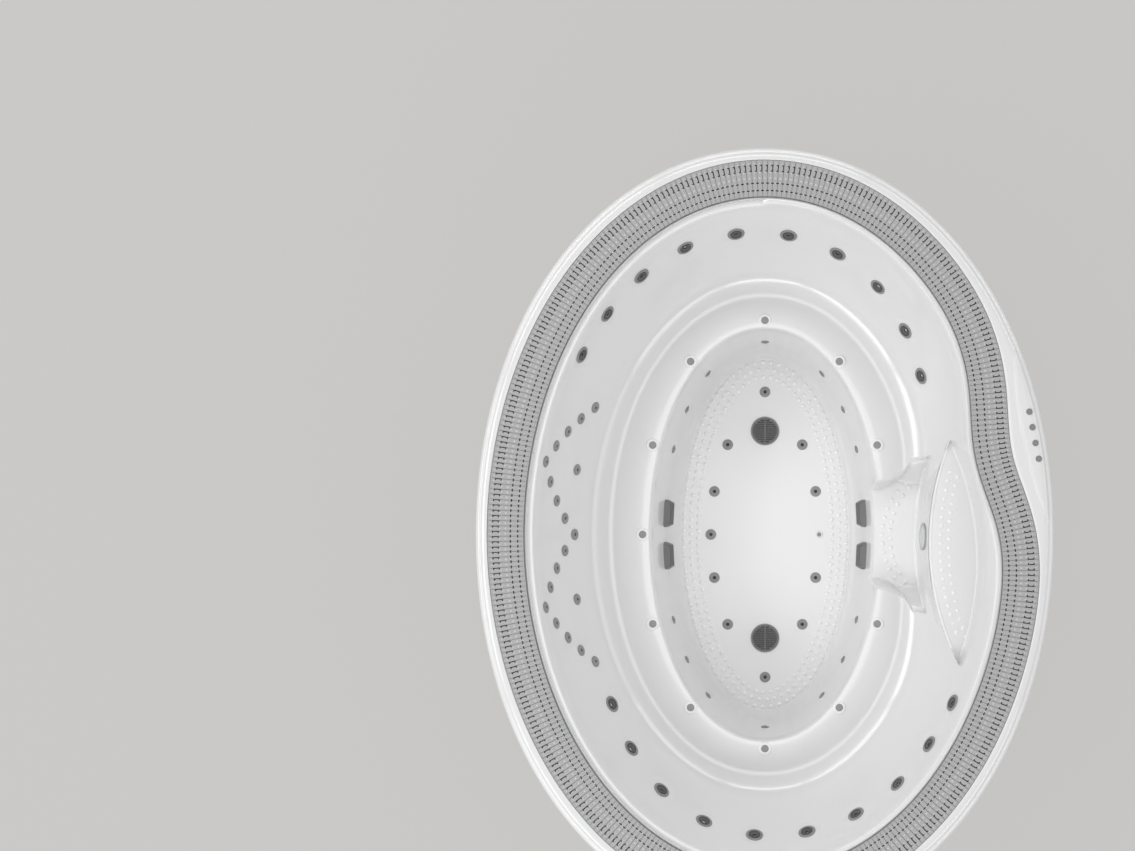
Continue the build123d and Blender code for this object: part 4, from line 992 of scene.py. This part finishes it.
# The nozzle's rings from its outlet outward: radius, shift to the outlet's side, height
NOZZLE_RINGS = (
    (OUTLET_RADIUS - 1.5, OUTLET_OFFSET, NOZZLE_PROUD - 9.0),
    (OUTLET_RADIUS - 1.0, OUTLET_OFFSET, NOZZLE_PROUD - 1.0),
    (OUTLET_RADIUS, OUTLET_OFFSET, NOZZLE_PROUD),
    (OUTLET_RADIUS + 1.6, OUTLET_OFFSET, NOZZLE_PROUD),
    (OUTLET_RADIUS + 2.4, OUTLET_OFFSET, NOZZLE_PROUD - 1.4),
    (NOZZLE_RADIUS * 0.72, OUTLET_OFFSET * 0.42, NOZZLE_PROUD - 3.0),
    (NOZZLE_RADIUS - 3.2, 0.0, NOZZLE_PROUD - 3.2),
    (NOZZLE_RADIUS - 2.4, 0.0, NOZZLE_PROUD - 1.2),
    (NOZZLE_RADIUS - 0.8, 0.0, NOZZLE_PROUD - 1.2),
    (NOZZLE_RADIUS, 0.0, NOZZLE_PROUD - 2.2),
    (NOZZLE_RADIUS, 0.0, NOZZLE_LOW),
)


def nozzle_mesh():
    """A round plug with a raised face and an off-centre outlet."""
    sides, rings = NOZZLE_SIDES, len(NOZZLE_RINGS)
    verts, faces = [], []
    for radius, shift, z in NOZZLE_RINGS:
        for i in range(sides):
            turned = 2.0 * math.pi * i / sides
            verts.append((radius * math.cos(turned), shift + radius * math.sin(turned), z))
    for k in range(rings - 1):
        for i in range(sides):
            j = (i + 1) % sides
            faces.append((k * sides + i, (k + 1) * sides + i, (k + 1) * sides + j, k * sides + j))
    faces.append(tuple(range(sides)))
    faces.append(tuple(reversed(range((rings - 1) * sides, rings * sides))))
    return verts, faces


def make_jets():
    rims = Shape()
    throat = [(0.0, THROAT_TOP), (THROAT_RADIUS, THROAT_TOP), (THROAT_RADIUS, THROAT_LOW), (0.0, THROAT_LOW)]
    for body, place, facing in jets:
        matrix = placed(place, facing)
        rims.add(*lathe(JET_RING, JET_SIDES), matrix)
        shape = Shape()
        shape.add(*nozzle_mesh(), matrix)
        piece = new_object(body + "_face", shape.verts, shape.faces, JET_DARK, body)
        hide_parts(body)
        # A near-black disc just inside the outlet is painted shade for the hole's depth.
        outlet_shade = Shape()
        outlet_shade.add(*lathe(throat, THROAT_SIDES), matrix @ Matrix.Translation((0.0, OUTLET_OFFSET, 0.0)))
        new_object(body + "_throat", outlet_shade.verts, outlet_shade.faces, OUTLET_PAINTED_SHADE, body)
    piece = new_object("jet_rims", rims.verts, rims.faces, JET_GREY)
    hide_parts("jet_fittings")


make_jets()


# Small fittings

def small_profile(flange, barrel, low, mouth):
    """A domed flange with a dished mouth."""
    top, foot = low + SMALL_THICK, low - SMALL_BARREL_LENGTH
    section = [
        (0.0, top - MOUTH_DEPTH), (mouth, top - MOUTH_DEPTH), (mouth, top),
        (mouth + MOUTH_LIP, top + MOUTH_LIP_RISE), (flange / 2 - FLANGE_EDGE, top - FLANGE_EDGE_DROP),
        (flange / 2, low + FLANGE_EDGE_HEIGHT), (flange / 2, low), (barrel / 2, low), (barrel / 2, foot),
        (0.0, foot),
    ]
    return rounded(section, SECTION_ROUND, SECTION_ROUND_STEPS)


def plug_profile(low, mouth):
    """The plug that closes a fitting's mouth."""
    top, radius = low + SMALL_THICK - PLUG_DROP, mouth - PLUG_GAP
    section = [(0.0, top), (radius, top), (radius, top - PLUG_THICK), (0.0, top - PLUG_THICK)]
    return rounded(section, PLUG_ROUND, SECTION_ROUND_STEPS)


def make_small(name, places, flange, barrel, low, mouth, look, centre_look, node):
    rings, centres = Shape(), Shape()
    profile, plug = small_profile(flange, barrel, low, mouth), plug_profile(low, mouth)
    for place, facing in places:
        matrix = placed(place, facing)
        rings.add(*lathe(profile, SMALL_SIDES), matrix)
        centres.add(*lathe(plug, PLUG_SIDES), matrix)
    piece = new_object(name + "_rings", rings.verts, rings.faces, look)
    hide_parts(node)
    new_object(name + "_centres", centres.verts, centres.faces, centre_look)


back_places = []
for i in range(BACK_JET_COUNT):
    climb = BACK_JET_TURN - abs(i % (2 * BACK_JET_TURN) - BACK_JET_TURN)
    turned = 180.0 + (i - (BACK_JET_COUNT - 1) / 2) * BACK_JET_ANGLE_STEP
    back_places.append(wall_place(turned, BACK_JET_LOW_SHARE + BACK_JET_STEP_SHARE * climb))
for side in (-1.0, 1.0):
    back_places.append(wall_place(180.0 + side * BACK_JET_PAIR_ANGLE, BACK_JET_PAIR_SHARE))
make_small(
    "back_jet", back_places, SMALL_FLANGE, SMALL_BARREL, SMALL_STAND, BACK_JET_MOUTH, JET_GREY, JET_DARK,
    "back_jets",
)

UP = Vector((0.0, 0.0, 1.0))
air_places = []
for turned in AIR_NOZZLE_ANGLES:
    x, y, _, _ = ring_points(BENCH_EDGE, np.array([turned]), AIR_NOZZLE_INSET)
    z = inside_height(np.degrees(np.arctan2(y, x)) % 360.0, np.hypot(x, y))
    air_places.append((Vector((float(x[0]), float(y[0]), float(z[0]))), UP))
make_small(
    "air_nozzle", air_places, AIR_FLANGE, SMALL_BARREL, 0.0, AIR_MOUTH, TRIM, JET_GREY,
    "air_nozzles",
)

inlet_places = [well_place(side * turned, INLET_HEIGHT) for turned in INLET_ANGLES for side in (1.0, -1.0)]
make_small(
    "inlet", inlet_places, INLET_FLANGE, INLET_BARREL, SMALL_STAND, INLET_MOUTH, JET_GREY, JET_DARK,
    "footwell_inlets",
)

floor_places = []
for share_x, share_y in zip(FLOOR_JET_X_SHARES, FLOOR_JET_Y_SHARES):
    for side in (1.0,) if share_x == 0.0 else (1.0, -1.0):
        x, y = side * share_x * FLOOR_EDGE[0], share_y * FLOOR_EDGE[1]
        floor_places.append((Vector((x, y, FLOOR_TOP)), UP))
sensor_place = max(floor_places, key=lambda spot: spot[0].x - abs(spot[0].y))
floor_places.remove(sensor_place)
make_small(
    "floor_jet", floor_places, SMALL_FLANGE, SMALL_BARREL, 0.0, FLOOR_JET_MOUTH, JET_GREY, JET_CORE,
    "floor_jets",
)
make_small(
    "sensor", [sensor_place], SENSOR_FLANGE, SMALL_BARREL, 0.0, SENSOR_MOUTH, TRIM, JET_GREY,
    "temperature_sensor",
)


# The steps' crisp edges: a flat tread on the leaf, and round beads along the edges

def arc_between(start, middle, end):
    """Points along the arc through three places in plan."""
    (cx, cy), radius = circle_through(start, middle, end)
    turns = np.unwrap([math.atan2(y - cy, x - cx) for x, y in (start, middle, end)])
    arc = np.linspace(turns[0], turns[-1], ARC_POINTS)
    return [(cx + radius * math.cos(t), cy + radius * math.sin(t)) for t in arc]


def bead(points, radius):
    """A thin round bead along open points in space."""
    sides = BEAD_SIDES
    verts, faces = [], []
    for i, point in enumerate(points):
        run = (Vector(points[min(i + 1, len(points) - 1)]) - Vector(points[max(i - 1, 0)])).normalized()
        side = run.cross(UP).normalized()
        up = side.cross(run)
        for k in range(sides):
            turned = 2.0 * math.pi * k / sides
            spot = Vector(point) + side * radius * math.cos(turned) + up * radius * math.sin(turned)
            verts.append(tuple(spot))
    for i in range(len(points) - 1):
        for k in range(sides):
            j = (k + 1) % sides
            faces.append((i * sides + k, i * sides + j, (i + 1) * sides + j, (i + 1) * sides + k))
    faces.append(tuple(reversed(range(sides))))
    faces.append(tuple(range((len(points) - 1) * sides, len(points) * sides)))
    return verts, faces


def make_leaf_tread():
    back = arc_between(LEAF_UPPER_TIP, LEAF_OUTER_MIDDLE, LEAF_LOWER_TIP)
    front = arc_between(LEAF_LOWER_TIP, LEAF_INNER_MIDDLE, LEAF_UPPER_TIP)
    ring = back[:-1] + front[:-1]
    shape = Shape()
    count = len(ring)
    top, low = LEAF_STEP_TOP + TREAD_RISE, LEAF_STEP_TOP - TREAD_RISE
    verts = [(x, y, z) for z in (low, top) for x, y in ring]
    faces = [tuple(range(count, 2 * count)), tuple(reversed(range(count)))]
    faces += [(i, (i + 1) % count, (i + 1) % count + count, i + count) for i in range(count)]
    if sum(a[0] * b[1] - a[1] * b[0] for a, b in zip(ring, ring[1:] + ring[:1])) < 0.0:
        faces = [tuple(reversed(face)) for face in faces]
    shape.add(verts, faces)
    new_object("leaf_tread", shape.verts, shape.faces, ACRYLIC, smooth=False)
    edges = Shape()
    for line in (back, front):
        edges.add(*bead([(x, y, LEAF_STEP_TOP) for x, y in line], BEAD_RADIUS))
    foot = [(float(riser_x(RISER_FOOT, y)), float(y)) for y in np.linspace(*FOOT_BEAD_ENDS, ARC_POINTS)]
    angles = np.degrees([math.atan2(y, x) for x, y in foot]) % 360.0
    heights = inside_height(angles, np.array([math.hypot(x, y) for x, y in foot]))
    edges.add(*bead([(x, y, float(z)) for (x, y), z in zip(foot, heights)], BEAD_RADIUS))
    # The beads' lighter white is painted highlight.
    new_object("step_edges", edges.verts, edges.faces, ACRYLIC_PAINTED_HIGHLIGHT)


make_leaf_tread()


# Grip domes on the floor and the steps

def dome_mesh():
    sides, rings = DOME_SIDES, DOME_RINGS
    verts, faces = [(0.0, 0.0, DOME_RISE)], []
    for k in range(1, rings + 1):
        share = k / rings
        z = DOME_RISE * (1.0 - share**DOME_FULLNESS) if k < rings else -DOME_FOOT
        radius = DOME_RADIUS * (share if k < rings else 1.0)
        for i in range(sides):
            turned = 2.0 * math.pi * i / sides
            verts.append((radius * math.cos(turned), radius * math.sin(turned), z))
    for i in range(sides):
        j = (i + 1) % sides
        faces.append((0, 1 + i, 1 + j))
        for k in range(rings - 1):
            low, high = 1 + k * sides, 1 + (k + 1) * sides
            faces.append((low + i, high + i, high + j, low + j))
    faces.append(tuple(reversed(range(1 + (rings - 1) * sides, 1 + rings * sides))))
    return verts, faces


def floor_spots():
    """Places in rows round the floor, each row's between those of the row before."""
    turned = np.arange(0.0, 360.0, RING_STEP)
    spots, count = [], 0
    for row, inset in enumerate(FLOOR_ROW_INSETS):
        x, y, _, _ = ring_points(FLOOR_EDGE, turned, -inset)
        length = np.concatenate([[0.0], np.cumsum(np.hypot(np.diff(x), np.diff(y)))])
        count = count or int(round(length[-1] / DOME_PITCH))
        for i in range(count):
            where = (i + 0.5 * (row % 2)) / count * length[-1]
            spots.append((float(np.interp(where, length, x)), float(np.interp(where, length, y)), FLOOR_TOP))
    return spots


def step_spots(circle, side, insets, reach, height):
    """Places in rows along an arc on a step."""
    spots = []
    for row, inset in enumerate(insets):
        for i in range(-DOME_ROW_MOST, DOME_ROW_MOST + 1):
            y = i * DOME_PITCH + (row % 2) * DOME_PITCH / 2
            if reach[0] < y < reach[1]:
                spots.append((float(arc_x(circle, y, side)) + inset, y, height))
    return spots


domes = Shape()
dome = dome_mesh()
dome_spots = floor_spots()
dome_spots += step_spots(circle_through(*STEP_ROW_ARC), -1.0, STEP_ROW_INSETS, STEP_ROW_REACH, LOWER_STEP_TOP)
dome_spots += step_spots(LEAF_FRONT, LEAF_FRONT_SIDE, LEAF_ROW_INSETS, LEAF_ROW_REACH, LEAF_STEP_TOP)
for spot in dome_spots:
    domes.add(*dome, Matrix.Translation(spot))
# The domes' lighter white is painted highlight and reflection.
new_object("grip_domes", domes.verts, domes.faces, ACRYLIC_PAINTED_HIGHLIGHT)


# Floor, light and camera

def ground_material():
    """The ground's colour, which glows for the eye and for what mirrors it."""
    mat = bpy.data.materials.new("ground")
    mat.use_nodes = True
    nodes, links = mat.node_tree.nodes, mat.node_tree.links
    shader = nodes["Principled BSDF"]
    shader.inputs["Base Color"].default_value = colour(*GROUND_COLOUR)
    shader.inputs["Roughness"].default_value = GROUND_ROUGHNESS
    glow = nodes.new("ShaderNodeEmission")
    glow.inputs["Color"].default_value = colour(*GROUND_COLOUR)
    path = nodes.new("ShaderNodeLightPath")
    seen = path.outputs["Is Camera Ray"]
    for kind in ("Is Glossy Ray", "Is Transmission Ray"):
        total = nodes.new("ShaderNodeMath")
        total.operation = "MAXIMUM"
        links.new(seen, total.inputs[0])
        links.new(path.outputs[kind], total.inputs[1])
        seen = total.outputs[0]
    part = nodes.new("ShaderNodeMath")
    part.operation = "MULTIPLY"
    part.inputs[1].default_value = GROUND_GLOW
    mix = nodes.new("ShaderNodeMixShader")
    links.new(seen, part.inputs[0])
    links.new(part.outputs[0], mix.inputs["Fac"])
    links.new(shader.outputs["BSDF"], mix.inputs[1])
    links.new(glow.outputs["Emission"], mix.inputs[2])
    links.new(mix.outputs["Shader"], nodes["Material Output"].inputs["Surface"])
    return mat


def make_stage():
    size = GROUND_SIZE * MM
    mesh = bpy.data.meshes.new("ground")
    corners = [(-size, -size, 0.0), (size, -size, 0.0), (size, size, 0.0), (-size, size, 0.0)]
    mesh.from_pydata(corners, [], [(0, 1, 2, 3)])
    mesh.materials.append(ground_material())
    ground = bpy.data.objects.new("ground", mesh)
    bpy.context.scene.collection.objects.link(ground)


def make_world():
    world = bpy.data.worlds.new("studio")
    bpy.context.scene.world = world
    world.use_nodes = True
    back = world.node_tree.nodes["Background"]
    back.inputs["Color"].default_value = (1.0, 1.0, 1.0, 1.0)
    back.inputs["Strength"].default_value = WORLD_STRENGTH


def area_light(name, place, target, size, power):
    data = bpy.data.lights.new(name, "AREA")
    data.shape = "RECTANGLE"
    data.size, data.size_y = size[0] * MM, size[1] * MM
    data.energy = power
    lamp = bpy.data.objects.new(name, data)
    lamp.location = Vector(place) * MM
    aim = (Vector(target) - Vector(place)).normalized()
    lamp.rotation_euler = aim.to_track_quat("-Z", "Y").to_euler()
    bpy.context.scene.collection.objects.link(lamp)


def make_camera():
    data = bpy.data.cameras.new("camera")
    data.sensor_width = SENSOR
    data.lens = SENSOR * CAMERA_ABOVE_RIM / (IMAGE_WIDTH * MM_PER_PX)
    data.shift_x = -(MIDDLE_PX[0] - IMAGE_WIDTH / 2) / IMAGE_WIDTH
    data.shift_y = (MIDDLE_PX[1] - IMAGE_HEIGHT / 2) / IMAGE_WIDTH
    data.clip_end = CAMERA_REACH
    camera = bpy.data.objects.new("camera", data)
    camera.location = Vector((0.0, 0.0, RIM_TOP + CAMERA_ABOVE_RIM)) * MM
    bpy.context.scene.collection.objects.link(camera)
    bpy.context.scene.camera = camera


make_stage()
make_world()
area_light("overhead", (0.0, 0.0, OVERHEAD_HEIGHT), LAMP_TARGET, OVERHEAD_SIZE, OVERHEAD_POWER)
for i, power in enumerate(RING_LAMP_POWERS):
    turned = 2.0 * math.pi * i / len(RING_LAMP_POWERS)
    place = (RING_LAMP_AWAY * math.cos(turned), RING_LAMP_AWAY * math.sin(turned), RING_LAMP_HEIGHT)
    area_light(f"ring_{i + 1}", place, LAMP_TARGET, RING_LAMP_SIZE, power)
make_camera()
bpy.context.scene.view_settings.view_transform = "Standard"
